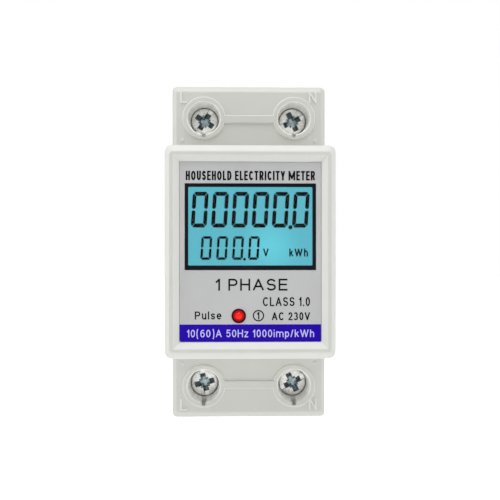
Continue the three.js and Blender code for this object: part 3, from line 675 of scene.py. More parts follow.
def front_cover():
    """The cover's outer body, then its hollows, then what stands inside and on it."""
    seam = Y_SPLIT - SEAM_GAP
    bevel = edge_sections(Y_SHOULDER, Y_SHOULDER + 0.9, 2 * HALF_H, 0.9, 1.3, BODY_CORNER_R)
    rear_edge = edge_sections(seam, seam - 0.28, 2 * HALF_H, 0.28, 0.28, BODY_CORNER_R)
    shoulders = loft(bevel + rear_edge[::-1])
    bevel = edge_sections(Y_FRONT, Y_FRONT + 0.95, 2 * NOSE_HALF_H, 0.95, 1.4, NOSE_CORNER_R)
    nose = loft([*bevel, (-34.0, 2 * HALF_W, 2 * NOSE_HALF_H, NOSE_CORNER_R)])
    shell = join(shoulders, nose)

    through = (Y_FRONT, Y_SHOULDER - 10)
    rear = Y_SPLIT + PAST
    cutters = [
        label_seat(),
        block((-16.4, 16.4), (-55, -37.5), (-20.9, 20.9), 0.3),
        block(around(0, WINDOW_X[1] + 0.1), through, (WINDOW_Z[0] - 0.1, WINDOW_Z[1] + 0.1)),
        rod(1.6, through, (LAMP_X, LAMP_Z)),
        *rooms(-38, rear, rear, rear),
    ]
    cut(shell, *cutters)

    additions = [collar(x, z) for x, z in TERMINALS.values()]
    cutters = [key_notch(x, z) for x, z in TERMINALS.values()]
    cutters += [access_hole(x, z) for x, z in TERMINALS.values()]
    for sz in (-1, 1):
        low, high = around(sz * (TERMINAL_Z - 0.3), 0.95)
        foot = Y_SHOULDER + 0.5
        rib = fillet([(foot, low), (COLLAR_Y, low), (COLLAR_Y, high), (foot, high)],
                     [0, 0.28, 0.28, 0])
        additions.append(prism(rib, around(0, TERMINAL_X), "YZ"))
        post = (0, sz * CASE_SCREW_Z)
        additions.append(rod(CASE_POST_R, (-31, seam), post, steps=32))
        cutters.append(rod(1.2, (-30, rear), post, steps=20))
    for sx, sz in CORNERS:
        post = (sx * BOARD_POST[0], sz * BOARD_POST[1])
        additions.append(rod(1.9, (-55.2, BOARD_Y), post, steps=24))
        additions += snap_hook(sx, sz)
        cutters.append(rod(0.85, (-52.1, -46), post, steps=16))
    join(shell, *additions)
    cut(shell, *cutters)

    # Rounded edges of the collars and ribs on the shoulders, which get the lighter plastic as a
    # painted highlight.
    def on_raised_edge(face):
        x, y, z = face.center
        inside = abs(x) < HALF_W - 1.1 and abs(z) < HALF_H - 1.5
        on_shoulder = Y_SHOULDER - 0.5 < y < Y_SHOULDER + 0.6
        return inside and on_shoulder and 0.15 < abs(face.normal.y) < 0.97

    # Walls of the screw wells, which get the much lighter plastic as painted light.
    def in_screw_well(face):
        across, y, up = face.center
        offsets = [(across - x, up - z) for x, z in TERMINALS.values()]
        u, v = min(offsets, key=lambda offset: math.hypot(*offset))
        in_notch = abs(u) < 0.6 and v < 0.4 - ACCESS_R
        deep = Y_SHOULDER - 0.3 < y < SCREW_Y[0] + 0.5
        return deep and math.hypot(u, v) < ACCESS_R + 0.3 and not in_notch

    # Sloped faces of the label's frame, which get the lighter plastic as a painted highlight.
    def on_frame_bevel(face):
        return face.center.y < LABEL_Y[0] + 0.02 and 0.1 < abs(face.normal.y) < 0.96

    accents = [(ABS_EDGE_PAINTED_HIGHLIGHT, on_raised_edge), (ABS_WELL_PAINTED_LIGHT, in_screw_well), (ABS_BEVEL_PAINTED_HIGHLIGHT, on_frame_bevel)]
    place(shell, "front_cover_shell", ABS, replaces=["front_cover"], accents=accents)


def moulded_marks():
    """Small raised letters beside the terminals, and the ejector pips."""
    ys = (Y_SHOULDER - 0.28, Y_SHOULDER + 0.1)
    marks = merge([lettering(letter, x, z, width, 2.7, 0.34, middle(ys), ys[1] - ys[0])
                   for letter, x, width in (("L", -16.1, 1.6), ("N", 14.15, 1.75))
                   for z in (35.05, -37.1)])
    # The letters are in the lighter plastic, a painted highlight on their edges.
    place(soften(marks, 0.08), "moulded_letters", ABS_EDGE_PAINTED_HIGHLIGHT, angle=50)
    dome = [(0, Y_SHOULDER - 0.16), *arc((0, Y_SHOULDER + 0.84), 1.0, -85, -50, 5),
            (0, Y_SHOULDER + 0.1)]
    pips = [lathe(dome, (sx * 15.6, sz * 26.1), steps=24) for sx, sz in CORNERS]
    place(merge(pips), "ejector_pips", ABS, angle=50)


def core_out(xs, zs, floor):
    """The cutter for a pocket in the rear face that keeps the walls thin."""
    width, height = xs[1] - xs[0], zs[1] - zs[0]
    mouth = (width + 0.25, height + 0.25, 0.45)
    sections = [(floor, width - 0.1, height - 0.1, 0.3), (Y_REAR - 0.25, width, height, 0.35),
                (Y_REAR + 0.02, *mouth), (Y_REAR + PAST, *mouth)]
    return loft(sections, 3, (middle(xs), middle(zs)))


def rear_housing():
    """The housing's outer body, its hollows with the rail slot, then the posts inside it."""
    front = Y_SPLIT + SEAM_GAP
    seam = edge_sections(front, front + 0.28, 2 * HALF_H, 0.28, 0.28, BODY_CORNER_R)
    heel = edge_sections(Y_REAR, Y_REAR - 0.8, 2 * HALF_H, 0.8, 0.8, BODY_CORNER_R)
    shell = loft(seam + heel[::-1])

    open_y = front - PAST
    past_side, past_rear = HALF_W + PAST, Y_REAR + PAST
    cutters = rooms(open_y, -WALL, CHAMBER_FLOOR_Y, -1)
    slot = [(0, -18.0), (0, 18.0), (1.5, 18.0), (1.5, 15.8), (past_rear, 15.3), (past_rear, -18.0)]
    cutters.append(prism(fillet(slot, [0.3, 0.3, 0.15, 0.25, 0, 0]), around(0, past_side), "YZ"))
    mouth = WIRE_R + 0.8
    wire_entry = [(0, 36.0), (WIRE_R, 36.0), (WIRE_R, 38.0), (mouth, HALF_H + 0.02),
                  (mouth, HALF_H + PAST), (0, HALF_H + PAST)]
    wire_entry = fillet(wire_entry, [0, 0, 0.5, 0, 0, 0], 4, closed=False)
    for x, z in TERMINALS.values():
        up = 1 if z > 0 else -1
        cutters.append(lathe([(r, up * along) for r, along in wire_entry], (x, WIRE_Y), "Z", 64))
        cutters.append(block(around(x, 3.65), (open_y, -20.35), side(up, (22.5, 26.5))))
    for sx, sz in CORNERS:
        columns = [(4.4, 9.6), (10.8, 16)] if sz > 0 else [(8.8, 16)]
        for column in columns:
            for low, high, floor in ((20.4, 25, 0), (26.2, 30.8, -9), (32, 36.8, -9)):
                cutters.append(core_out(side(sx, column), side(sz, (low, high)), floor))
        hook_window = side(sx, (ROOM_X - PAST, past_side))
        cutters.append(block(hook_window, (-19.2, -17.2), side(sz, (9.7, 14.3))))
    latch_channel = (-HALF_H - PAST, -17)
    cutters.append(block((-7, 7), (1, 4.5), latch_channel))
    cutters.append(block((-5.3, 5.3), (0.9, past_rear), latch_channel))
    cut(shell, *cutters)

    spring_lug = block((-1.4, 1.4), (0.5, 4), (-36.9, -35.4), 0.15)
    places = [(0, sz * CASE_SCREW_Z) for sz in (-1, 1)]
    join(shell, spring_lug, *[rod(CASE_POST_R, (front, -1.3), at, steps=40) for at in places])
    bore = [(0, open_y), (1.6, open_y), (1.6, -6), (2.9, -6), (2.9, 5.7), (3.2, Y_REAR + 0.02),
            (3.2, past_rear), (0, past_rear)]
    cut(shell, *[lathe(bore, at, steps=40) for at in places])
    place(shell, "rear_housing_shell", ABS, replaces=["rear_housing"])


# ---- Face: label, print, display and lamp ----

INK_T = 0.02  # thickness of printed ink


STEM = [(0, 0), (0, 1)]
FAR_STEM = [(1, 0), (1, 1)]
BOWL = [(0, 1), *bow(0.6, 0.73, 0.4, 0.27, 84, -84, 10), (0, 0.46)]
CURL = [*bow(0.5, 0.745, 0.47, 0.255, 22, 255), *bow(0.5, 0.26, 0.5, 0.26, 75, -158)]
LOW = 0.72  # height of small letters

# Each letter is its width in capital heights and up to three layers of strokes. Strokes of one
# layer don't touch each other. Points run from 0 to 1 across the letter and up a capital. A letter
# of width 0 is a single stem.
ALPHABET = {
    "A": (0.80, [[(0, 0), (0.5, 1)]], [[(0.5, 1), (1, 0)]], [[(0.2, 0.33), (0.8, 0.33)]]),
    "C": (0.76, [bow(0.52, 0.5, 0.52, 0.5, 45, 315, 12)], []),
    "D": (0.74, [[(0, 0), (0, 1), (0.42, 1), *bow(0.42, 0.5, 0.58, 0.5, 80, -80), (0.42, 0),
                  (0, 0)]], []),
    "E": (0.64, [[(1, 1), (0, 1), (0, 0), (1, 0)]], [[(0, 0.52), (0.92, 0.52)]]),
    "H": (0.72, [STEM, FAR_STEM], [[(0, 0.52), (1, 0.52)]]),
    "I": (0, [STEM], []),
    "L": (0.58, [[(0, 1), (0, 0), (1, 0)]], []),
    "M": (1.16, [STEM, FAR_STEM], [[(0, 1), (0.5, 0.15)]], [[(0.5, 0.15), (1, 1)]]),
    "N": (0.74, [STEM, FAR_STEM], [[(0, 1), (1, 0)]]),
    "O": (0.80, [bow(0.5, 0.5, 0.5, 0.5, 0, 360, 20)], []),
    "P": (0.66, [STEM], [BOWL]),
    "R": (0.72, [STEM], [BOWL], [[(0.66, 0.36), (1, 0)]]),
    "S": (0.68, [CURL], []),
    "T": (0.68, [[(0, 1), (1, 1)]], [[(0.5, 1), (0.5, 0)]]),
    "U": (0.72, [[(0, 1), (0, 0.38), *bow(0.5, 0.36, 0.5, 0.36, 190, 350), (1, 0.38),
                  (1, 1)]], []),
    "V": (0.76, [[(0, 1), (0.5, 0)]], [[(0.5, 0), (1, 1)]]),
    "W": (1.14, [[(0, 1), (0.26, 0)], [(0.5, 1), (0.74, 0)]],
          [[(0.26, 0), (0.5, 1)], [(0.74, 0), (1, 1)]]),
    "Y": (0.76, [[(0, 1), (0.5, 0.42)]], [[(0.5, 0.42), (1, 1)]], [[(0.5, 0.5), (0.5, 0)]]),
    "e": (0.58, [bow(0.5, 0.36, 0.5, 0.36, 0, 310, 12)], [[(0, 0.38), (1, 0.38)]]),
    "h": (0.56, [STEM], [[(0, 0.4), *bow(0.5, 0.42, 0.5, 0.3, 170, 0), (1, 0)]]),
    "i": (0, [[(0, 0), (0, LOW - 0.06)], [(0, 0.99), (0, 1)]], []),
    "k": (0.56, [STEM, [(0.4, 0.44), (1, 0)]], [[(0, 0.26), (0.95, LOW)]]),
    "l": (0, [STEM], []),
    "m": (1.02, [[(0, 0), (0, LOW)], [(0.5, 0.4), *bow(0.75, 0.45, 0.25, 0.27, 170, 0), (1, 0)]],
          [[(0, 0.4), *bow(0.25, 0.45, 0.25, 0.27, 170, 0), (0.5, 0)]]),
    "p": (0.56, [[(0, -0.28), (0, LOW)]], [bow(0.5, 0.36, 0.5, 0.36, 0, 360, 16)]),
    "s": (0.52, [[(u, v * LOW) for u, v in CURL]], []),
    "u": (0.54, [[(0, LOW), (0, 0.3), *bow(0.5, 0.28, 0.5, 0.28, 190, 350), (1, 0.3)]],
          [[(1, 0), (1, LOW)]]),
    "z": (0.52, [[(0, LOW), (1, LOW)], [(0, 0), (1, 0)]], [[(1, LOW), (0, 0)]]),
    "0": (0.58, [bow(0.5, 0.5, 0.5, 0.5, 0, 360, 20)], []),
    "1": (0.34, [[(1, 1), (1, 0)]], [[(0, 0.74), (0.9, 0.97)]]),
    "2": (0.60, [[*bow(0.5, 0.7, 0.48, 0.3, 165, -25), (0, 0), (1, 0)]], []),
    "3": (0.60, [bow(0.48, 0.76, 0.44, 0.24, 150, -70)], [bow(0.48, 0.27, 0.52, 0.27, 75, -150)]),
    "5": (0.60, [[(0.92, 1), (0.18, 1), (0.08, 0.52),
                  *bow(0.5, 0.33, 0.5, 0.33, 115, -150, 10)]], []),
    "6": (0.60, [bow(0.5, 0.32, 0.5, 0.32, 0, 360, 16)],
          [[*bow(0.58, 0.52, 0.58, 0.48, 60, 180), (0, 0.34)]]),
    "(": (0.34, [bow(1.5, 0.42, 1.5, 0.95, 132, 228)], []),
    ")": (0.34, [bow(-0.5, 0.42, 1.5, 0.95, 48, -48)], []),
    "/": (0.38, [[(0, 0), (1, 1)]], []),
    ".": (0, [[(0, 0), (0, 0.02)]], []),
}
GAP = 0.19  # between letters, in capital heights
SPACE = 0.22


def ribbon(points, width, span):
    """A stroke of even width along a line in the XZ plane, extruded across a span of Y."""
    closed = (Vector(points[0]) - Vector(points[-1])).length < 1e-6
    line = [Vector(p) for p in (points[:-1] if closed else points)]
    count = len(line)
    verts = []
    for i, point in enumerate(line):
        ways = []
        if closed or i > 0:
            ways.append((point - line[i - 1]).normalized())
        if closed or i < count - 1:
            ways.append((line[(i + 1) % count] - point).normalized())
        way = sum(ways, Vector((0, 0))).normalized()
        across = Vector((-way.y, way.x))
        reach = width / 2 / max(0.6, across.dot(Vector((-ways[0].y, ways[0].x))))
        if len(ways) == 1:
            steep, flat = max(abs(way.x), abs(way.y)), min(abs(way.x), abs(way.y))
            point = point + way * (width / 2 * (1 - flat) / steep) * (-1 if i == 0 else 1)
        verts += [(point.x + s * across.x * reach, y, point.y + s * across.y * reach)
                  for y in span for s in (1, -1)]
    faces = []
    for i in range(count if closed else count - 1):
        a, b = 4 * i, 4 * ((i + 1) % count)
        faces += [(a + p, a + q, b + q, b + p) for p, q in ((0, 1), (1, 3), (3, 2), (2, 0))]
    if not closed:
        faces += [(0, 1, 3, 2), tuple(4 * (count - 1) + k for k in (0, 2, 3, 1))]
    return solid(verts, faces)


def lettering(text, left, base, width, cap, stroke, y, thickness=INK_T):
    """Lettering that faces -Y, from its left end, baseline, width, capital height and stroke."""
    single = sum(stroke for letter in text if letter != " " and ALPHABET[letter][0] == 0)
    wide = sum(SPACE if letter == " " else ALPHABET[letter][0] for letter in text)
    scale = (width - single) / (wide + GAP * (len(text) - 1))
    layers = ([], [], [])
    x = left
    for letter in text:
        if letter == " ":
            x += (SPACE + GAP) * scale
            continue
        share, *strokes = ALPHABET[letter]
        glyph = share * scale or stroke
        for layer, lines in zip(layers, strokes):
            for line in lines:
                points = [(x + stroke / 2 + u * (glyph - stroke),
                           base + stroke / 2 + v * (cap - stroke)) for u, v in line]
                layer.append(ribbon(points, stroke, around(y, thickness / 2)))
        x += glyph + GAP * scale
    shape, *others = [merge(layer) for layer in layers if layer]
    return join(shape, *others) if others else shape


def label():
    """The face plate with its print, from the title down to the rating band."""
    plate = block(LABEL_X, LABEL_Y, LABEL_Z, 0.05, 1)
    hole_z = (MASK_Z[0] - 0.05, MASK_Z[1] + 0.05)
    hole = block(around(0, MASK_X[1] + 0.05), THROUGH_FACE, hole_z)
    cut(plate, hole, rod(1.55, THROUGH_FACE, (LAMP_X, LAMP_Z), steps=64))
    place(plate, "face_label_plate", LABEL, replaces=["face_label"])

    surface = LABEL_Y[0] - INK_T / 2
    prints = {  # text, left end, baseline, width, capital height, stroke
        "print_title": ("HOUSEHOLD ELECTRICITY METER", -13.6, 15.08, 27.2, 1.98, 0.355),
        "print_phase": ("1 PHASE", -7.4, -8.15, 15.2, 2.5, 0.36),
        "print_class": ("CLASS 1.0", 2.6, -11.42, 9.95, 1.9, 0.28),
        "print_pulse": ("Pulse", -11.7, -14.2, 5.6, 1.68, 0.27),
        "print_voltage": ("AC 230V", 4.5, -14.4, 8.05, 1.7, 0.28),
    }
    for name, sizes in prints.items():
        place(lettering(*sizes, surface), name, BLACK_INK)

    circle = (1.68, -13.42)
    ring = ribbon(bow(*circle, 1.07, 1.07, 0, 360, 48), 0.25, around(surface, INK_T / 2))
    figure = lettering("1", circle[0] - 0.32, circle[1] - 0.78, 0.52, 1.56, 0.27, surface)
    place(merge([ring, figure]), "print_circled_one", BLACK_INK)

    foot, top = LABEL_Z[0] + 0.05, LABEL_Z[0] + 3.7
    half_w = LABEL_X[1] - 0.05
    corners = [(-half_w, top), (-half_w, foot), (half_w, foot), (half_w, top)]
    outline = fillet(corners, [0.1, 0.5, 0.3, 0.1], 4)
    place(prism(outline, around(surface, INK_T / 2)), "rating_band", BLUE_INK)
    rating = ("10(60)A 50Hz 1000imp/kWh", -13.38, -17.95, 26.8, 1.6, 0.22)
    place(lettering(*rating, surface - INK_T), "print_rating", PALE_INK)


SLANT = 0.063  # how far the figures lean, per millimetre up
FIGURE_T = 0.024


def digit_zero(left, base, width, height, bar, flank, y):
    """The six lit segments of a slanted seven-segment zero."""
    corner, gap = 0.6 * bar, 0.045
    mitre = (0.5 * corner, height - 0.6 * corner)
    top = [(mitre[0] + gap, mitre[1] + 0.5 * gap), (corner + 0.5 * gap, height)]
    top += [(width - u, v) for u, v in reversed(top)]
    top += [(width - flank - 1.3 * gap, height - bar), (flank + 1.3 * gap, height - bar)]
    low = height / 2 + 0.19 * bar
    post = [(0, low + 0.3 * flank), (0, height - 1.25 * corner),
            (mitre[0] - 0.6 * gap, mitre[1] - gap), (flank, height - bar - 1.3 * gap),
            (flank, low + 0.35 * flank), (0.62 * flank, low), (0.28 * flank, low)]
    shapes = []
    for points, mirrors in ((top, (False,)), (post, (False, True))):
        for flip_x in mirrors:
            for flip_z in (False, True):
                shape = [(width - u if flip_x else u, height - v if flip_z else v)
                         for u, v in points]
                placed = [(left + u + SLANT * v, base + v) for u, v in fillet(shape, 0.1 * bar, 2)]
                shapes.append(prism(placed, around(y, FIGURE_T / 2)))
    return shapes


def opening(width, height, radius):
    """The cutter for a straight opening around the display."""
    return loft([(y, width, height, radius) for y in THROUGH_FACE], 3, (0, DISPLAY_Z))


def display():
    """Black frame, clear window, and the figures between the two display glasses."""
    front = MASK_Y[0] - 0.04
    rim = block(MASK_X, (front, MASK_Y[1]), MASK_Z, 0.06)
    mouth, throat = (26.5, 16.85, 0.2), (26.2, 16.55, 0.2)
    cut(rim, loft([(THROUGH_FACE[0], *mouth), (front, *mouth), (MASK_Y[1] - 0.1, *throat),
                   (THROUGH_FACE[1], *throat)], 3, (0, DISPLAY_Z + 0.12)))
    place(rim, "display_frame", BLACK_TRIM, replaces=["display_mask"])
    place(block(WINDOW_X, WINDOW_Y, WINDOW_Z, 0.08), "display_pane", CLEAR,
          replaces=["display_window"])

    glass_x, glass_y, glass_z = spans("lcd_rear_glass")
    polariser_front = spans("lcd_front_polariser")[1][0]
    gasket = block(glass_x, (WINDOW_Y[1] + 0.02, polariser_front - 0.02), glass_z, 0.1)
    cut(gasket, opening(26.9, 17.5, 0.4))
    place(gasket, "display_gasket", FOAM)
    border = block(glass_x, (glass_y[1] + 0.01, glass_y[1] + 0.04), glass_z)
    cut(border, opening(27.5, 18.1, 0.3))
    place(border, "lcd_border_ink", SEGMENT)

    y = glass_y[0] - 0.025
    shapes = []
    for index in range(6):
        shapes += digit_zero(-12.79 + 4.36 * index, 5.25, 3.42, 7.70, 0.88, 0.82, y)
    for index in range(4):
        shapes += digit_zero(-10.76 + 3.42 * index, -1.71, 2.32, 5.09, 0.56, 0.53, y)
    for x, z, radius in ((8.7, 5.32, 0.45), (-1.2, -1.58, 0.3)):
        shapes.append(rod(radius, around(y, FIGURE_T / 2), (x, z), steps=24))
    shapes.append(lettering("V", 2.8, -0.96, 1.2, 1.72, 0.31, y, FIGURE_T))
    shapes.append(lettering("kWh", 8.45, -1.0, 4.04, 1.74, 0.30, y, FIGURE_T))
    place(merge(shapes), "lcd_figures", SEGMENT, angle=60)


def lamp():
    """The red lamp in its black ring."""
    x, z = LAMP_X, LAMP_Z
    tip, radius, foot = -57.17, 1.12, -51.6
    flange = radius + 0.75
    dome = [(0, tip), *arc((0, tip + radius), radius, -82, 0, 9), (radius, foot - 1),
            (flange, foot - 0.9), (flange, foot), (0, foot)]
    lens = lathe(dome, (x, z), steps=40)
    legs = [block(around(x + s * 0.7, 0.2), (foot - 0.3, BOARD_Y), around(z, 0.2), 0.04)
            for s in (-1, 1)]
    place(join(lens, *legs), "pulse_lamp_lens", LAMP, replaces=["pulse_lamp"])
    front, rear = RING_Y
    outline = fillet([(1.14, rear), (1.14, front), (1.5, front), (1.5, rear)], 0.05, 2)
    place(ring_solid(outline, (x, z)), "lamp_ring", BLACK_TRIM,
          replaces=["led_ring"])


def ring_solid(outline, at, steps=64):
    """A ring turned about Y, from a closed outline of (radius, y) points."""
    count = len(outline)
    verts = []
    for i in range(steps):
        angle = 2 * math.pi * i / steps
        verts += [(at[0] + radius * math.cos(angle), y, at[1] + radius * math.sin(angle))
                  for radius, y in outline]
    faces = []
    for i in range(steps):
        for k in range(count):
            a, b = i * count, (i + 1) % steps * count
            faces.append((a + k, a + (k + 1) % count, b + (k + 1) % count, b + k))
    return solid(verts, faces)


# ---- Terminals ----

SLOT_ANGLES = {"line_in": 58, "neutral_in": 25, "line_out": 104, "neutral_out": 27}  # in degrees
THREAD_PITCH = 0.8
THREAD_STEP = 0.1  # between the rings of points that carry a thread
DOME_R = 2.9
DOME_RISE = 0.26


def thread(depth, start, end):
    """Relief of a thread of the given depth between two places along the axis."""

    def relief(angle, along):
        if not start <= along <= end:
            return 0
        phase = (along / THREAD_PITCH - angle / (2 * math.pi)) % 1
        fade = min(1, (along - start) / THREAD_PITCH, (end - along) / THREAD_PITCH)
        return depth * fade * abs(2 * phase - 1)

    return relief


def terminal_screw(name):
    """A screw with a domed head, a cross and a slot for a driver, and a thread."""
    x, z = TERMINALS[name]
    head, tip = SCREW_Y
    neck = -33.2

    def dome(radius):
        return head + DOME_RISE * (radius / DOME_R) ** 2

    rim = [(DOME_R, head + DOME_RISE), (SCREW_R, head + 0.34), (SCREW_R, neck), (2.5, neck)]
    rim = fillet(rim, [0, 0.2, 0.12, 0], 3, closed=False)
    rings = int((tip - neck - 0.5) / THREAD_STEP)  # the thread stops short of the tip
    profile = [(0, head), *[(r, dome(r)) for r in (0.7, 1.4, 2.1, 2.6, DOME_R)], *rim[1:]]
    profile += [(2.35, neck + THREAD_STEP + i * THREAD_STEP) for i in range(rings)]
    profile += [(1.9, tip), (0, tip)]
    screw = lathe(profile, (x, z), steps=40, relief=thread(0.34, neck + 0.4, tip - 0.4))
    above = head - PAST
    groove = block((-4, 4), (above, head + 0.75), (-0.6, 0.6), 0.1)
    arm = [(above, 5.3, 1.5, 0.2), (head, 5.0, 1.36, 0.2), (head + 1.0, 4.1, 1.16, 0.2),
           (head + 2.1, 2.2, 0.8, 0.15)]
    tick = [(above, 3.4, 0.5, 0.05), (head, 3.2, 0.4, 0.05), (head + 0.9, 1.4, 0.2, 0.02)]
    arms = [turned(loft(arm, 3), angle) for angle in (0, 90)]
    ticks = [turned(loft(tick, 2), angle) for angle in (45, 135)]
    cut(screw, *[shifted(turned(tool, SLOT_ANGLES[name]), (x, 0, z))
                 for tool in (groove, *arms, *ticks)])

    # Faces sunk in the cross recess get the darker zinc as painted shade; the slot floor keeps the
    # plain zinc.
    def in_recess(face):
        centre = face.center
        radius = math.hypot(centre.x - x, centre.z - z)
        sunk = dome(radius) + 0.04 < centre.y < neck - 0.02
        slot_floor = radius > 1.7 and abs(face.normal.y) > 0.9
        return radius < SCREW_R - 0.1 and sunk and not slot_floor

    place(screw, f"terminal_screw_{name}", ZINC, f"screw_{name}", [f"screw_{name}"],
          accents=[(ZINC_PAINTED_SHADE, in_recess)])


def clamp_cage(name):
    """A cage with a window for the wire, a bore for its screw and a grooved floor."""
    x, z = TERMINALS[name]
    xs, ys, zs = spans(f"cage_{name}")
    cage = block(xs, ys, zs, 0.5, 3)
    roof, floor = ys[0] + 3, ys[1] - 1.5
    gap = fillet([(-3.8, roof), (3.8, roof), (3.8, floor), (-3.8, floor)], 0.5, 4)
    window = prism([(x + u, v) for u, v in gap], (zs[0] - PAST, zs[1] + PAST), "XY")
    bore = rod(2.5, (ys[0] - PAST, roof + PAST), (x, z), steps=40)
    grooves = []
    for i in range(5):
        at = z + (i - 2) * 1.2
        notch = [(floor - 0.2, at - 0.28), (floor - 0.2, at + 0.28), (floor + 0.28, at)]
        grooves.append(prism(notch, around(x, 3.3), "YZ"))
    cut(cage, window, bore, *grooves)
    place(cage, f"clamp_cage_{name}", ZINC, f"cage_{name}", [f"cage_{name}"])


# ---- Rail latch and case screws ----


def rail_latch():
    """The latch: a plate and a back with the hook, and the pull tab with its slot."""
    xs, ys, zs = spans("rail_latch")
    plate = block(xs, (ys[0], 4.2), (-38, -18.6), 0.25)
    back = block((-5, 5), (ys[0] + 0.02, ys[1]), (-38.6, -18.6), 0.35, 3)
    hook = [(1.6, -19.4), (1.6, -15.8), (2.4, -15.8), (5, -18.1), (5, -19.4)]
    hook = prism(fillet(hook, [0, 0.15, 0.3, 0.3, 0]), (-5, 5), "YZ")
    tab = block((-4.5, 4.5), (ys[0] + 0.01, 4.19), (zs[0], -37), 0.6, 3)
    latch = join(plate, back, hook, tab)
    slot = loft([(0, 5, 1.2, 0.55), (7, 5, 1.2, 0.55)], 6, (0, -39.8))
    window = block((-1.6, 1.6), (0, 7), (-37, -27.5))
    ribs = [block((-4, 4), (ys[1] - 0.25, 7), around(-20.6 - 1.1 * i, 0.28)) for i in range(4)]
    cut(latch, slot, window, *ribs)
    place(latch, "rail_latch_slide", LATCH, "latch", ["rail_latch"])


def latch_spring():
    """The spring in the latch's window, with a closed coil at both ends."""
    low, high = spans("latch_spring")[2]
    wire, coil, y = 0.2, 1.1, 2.65  # radii of the wire and of its coils, and where they sit
    turns, steps = 6, 20
    closed = 2 * wire
    free = (high - low - 2 * wire - 2 * closed) / (turns - 2)
    path = []
    for i in range(turns * steps + 1):
        turn = i / steps
        end_coils = min(turn, 1) + max(0, turn - turns + 1)
        rise = closed * end_coils + free * (turn - end_coils)
        angle = 2 * math.pi * turn
        path.append((coil * math.cos(angle), y + coil * math.sin(angle), low + wire + rise))
    spring = place(tube(path, wire, 10), "latch_spring_coil", SPRING_STEEL,
                   "housing", ["latch_spring"])
    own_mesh(spring)


def case_screws():
    """Two self-tapping screws with a cross recess, driven in from the rear."""
    for name in ("upper", "lower"):
        _, (tip, top), zs = spans(f"case_screw_{name}")
        z = middle(zs)
        seat = -5.95
        head = fillet([(0, top), (1.7, top), (2.6, top - 0.9), (2.6, seat), (1.15, seat)],
                      [0, 0.6, 0.3, 0.1, 0], 4, closed=False)
        shank = [(1.15, seat - i * THREAD_STEP) for i in range(1, 215)]
        profile = [*head[:-1], *shank, (0.25, tip), (0, tip)]
        screw = lathe(profile, (0, z), steps=24, relief=thread(0.3, tip + 1.6, seat - 3))
        arm = [(top + PAST, 3.0, 0.7, 0.15), (top, 2.8, 0.6, 0.15), (top - 1.3, 1.2, 0.4, 0.1)]
        cut(screw, *[shifted(turned(loft(arm, 2), angle), (0, 0, z)) for angle in (45, -45)])
        place(screw, f"case_screw_{name}_turned", ZINC,
              replaces=[f"case_screw_{name}"])


# ---- Inside ----

BOARD_SCREWS = [f"board_screw_{corner}" for corner in
                ("upper_left", "upper_right", "lower_left", "lower_right")]
INSIDE = [
    (LCD_GLASS, ["lcd_front_glass", "lcd_rear_glass"]),
    (POLARISER, ["lcd_front_polariser"]),
    (BACKLIGHT, ["lcd_rear_polariser", "backlight_guide"]),
    (WHITE, ["backlight_reflector", "lcd_holder"]),
    (BOARD, ["main_board"]),
    (ZINC, ["lcd_pins_upper", "lcd_pins_lower", "crystal", *BOARD_SCREWS]),
    (MOULD, ["metering_chip", "microcontroller", "optocoupler", "smoothing_capacitor",
             "rectifier_diode_upper", "rectifier_diode_lower"]),
    (BLUE_BOX, ["film_capacitor"]),
    (EPOXY, ["varistor"]),
    (COPPER, ["line_in_bar", "line_out_bar", "neutral_bar"]),
    (MANGANIN, ["current_shunt"]),
]


def insides():
    """Gives the CAD nodes that are carried over their materials."""
    for material, nodes in INSIDE:
        for node in nodes:
            dress(node, material)
    for node, (name, colour) in WIRES.items():
        dress(node, plastic(name, colour, 0.45, 0.01))


# ---- Studio ----


SOFTBOXES = [  # name, place and target in metres, size and watts
    ("softbox_top", (-0.04, -0.2, 0.46), (0, -0.03, 0), (0.5, 0.3), 1.7),
    ("softbox_left", (-0.5, -0.12, 0.12), (0, -0.03, 0), (0.3, 0.4), 0.68),
    ("softbox_front", (0, -0.6, 0.02), (0, -0.03, 0), (0.3, 0.3), 0.22),
    ("softbox_back", (0.1, 0.5, 0.3), (0, -0.02, 0), (0.4, 0.3), 1.1),
    ("softbox_right", (0.5, -0.12, 0.05), (0, -0.03, 0), (0.3, 0.4), 0.58),
]
FLOOR_Z = -0.12


def stand(name, data, location, target):
    """Puts a lamp or camera in the scene, turned to its target."""
    obj = bpy.data.objects.new(name, data)
    obj.location = location
    way = Vector(target) - obj.location
    obj.rotation_euler = way.to_track_quat("-Z", "Y").to_euler()
    scene.collection.objects.link(obj)
    return obj


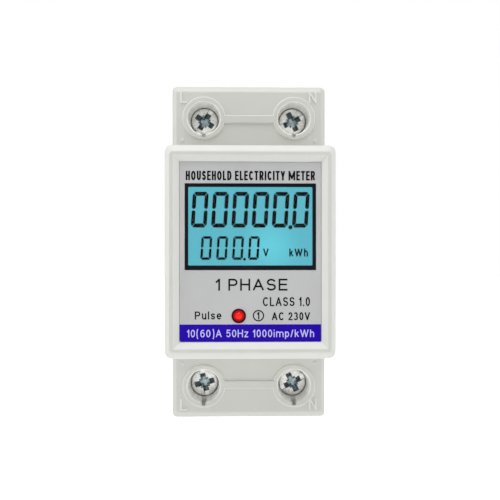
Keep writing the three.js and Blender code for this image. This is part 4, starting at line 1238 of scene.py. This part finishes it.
def area_light(name, location, target, size, watts):
    data = bpy.data.lights.new(name, "AREA")
    data.shape = "RECTANGLE"
    data.size, data.size_y = size
    data.energy = watts
    stand(name, data, location, target).visible_camera = False


def backdrop():
    """A world that is white to the camera and lights the meter softly."""
    world = bpy.data.worlds.new("studio")
    world.use_nodes = True
    scene.world = world
    tree = world.node_tree
    shown = tree.nodes["Background"]
    shown.inputs["Color"].default_value = (1, 1, 1, 1)
    shown.inputs["Strength"].default_value = 1.0
    lighting = add_node(tree, "Background", Color=(0.98, 0.99, 1.0, 1), Strength=0.335)
    seen = add_node(tree, "LightPath").outputs["Is Camera Ray"]
    choices = (lighting.outputs["Background"], shown.outputs["Background"])
    mix = add_node(tree, "MixShader", seen, *choices).outputs["Shader"]
    feed(tree, tree.nodes["World Output"].inputs["Surface"], mix)


def studio():
    """Plain pale floor, lit by softboxes and the backdrop."""
    backdrop()
    for softbox in SOFTBOXES:
        area_light(*softbox)
    bm = bmesh.new()
    bmesh.ops.create_grid(bm, x_segments=2, y_segments=2, size=3.0)
    floor = wrap(bm, "floor")
    floor.location = (0, 0, FLOOR_Z)
    look = Look("floor_paper", 0.8)
    look.colour((0.90, 0.90, 0.90), (0.93, 0.93, 0.93), 6)
    look.set("Emission Color", (1, 1, 1, 1))
    seen = look.node("LightPath").outputs["Is Camera Ray"]
    glow = look.node("MapRange", Value=seen, To_Min=0.30, To_Max=0.75)
    look.set("Emission Strength", glow.outputs["Result"])
    floor.data.materials.append(look.material)
    scene.view_settings.view_transform = "Standard"


def camera():
    """The photo's view, from a little to the left of straight in front."""
    data = bpy.data.cameras.new("camera")
    data.sensor_width = 36
    data.lens = 49.27
    data.clip_start = 0.01
    data.clip_end = 20
    face_y = Y_FRONT * MM
    scene.camera = stand("camera", data, (-0.0032, face_y - 0.143, 0), (-0.00012, face_y, 0.0004))


camera()
studio()
front_cover()
moulded_marks()
rear_housing()
label()
display()
lamp()
for terminal in TERMINALS:
    terminal_screw(terminal)
    clamp_cage(terminal)
rail_latch()
latch_spring()
case_screws()
insides()
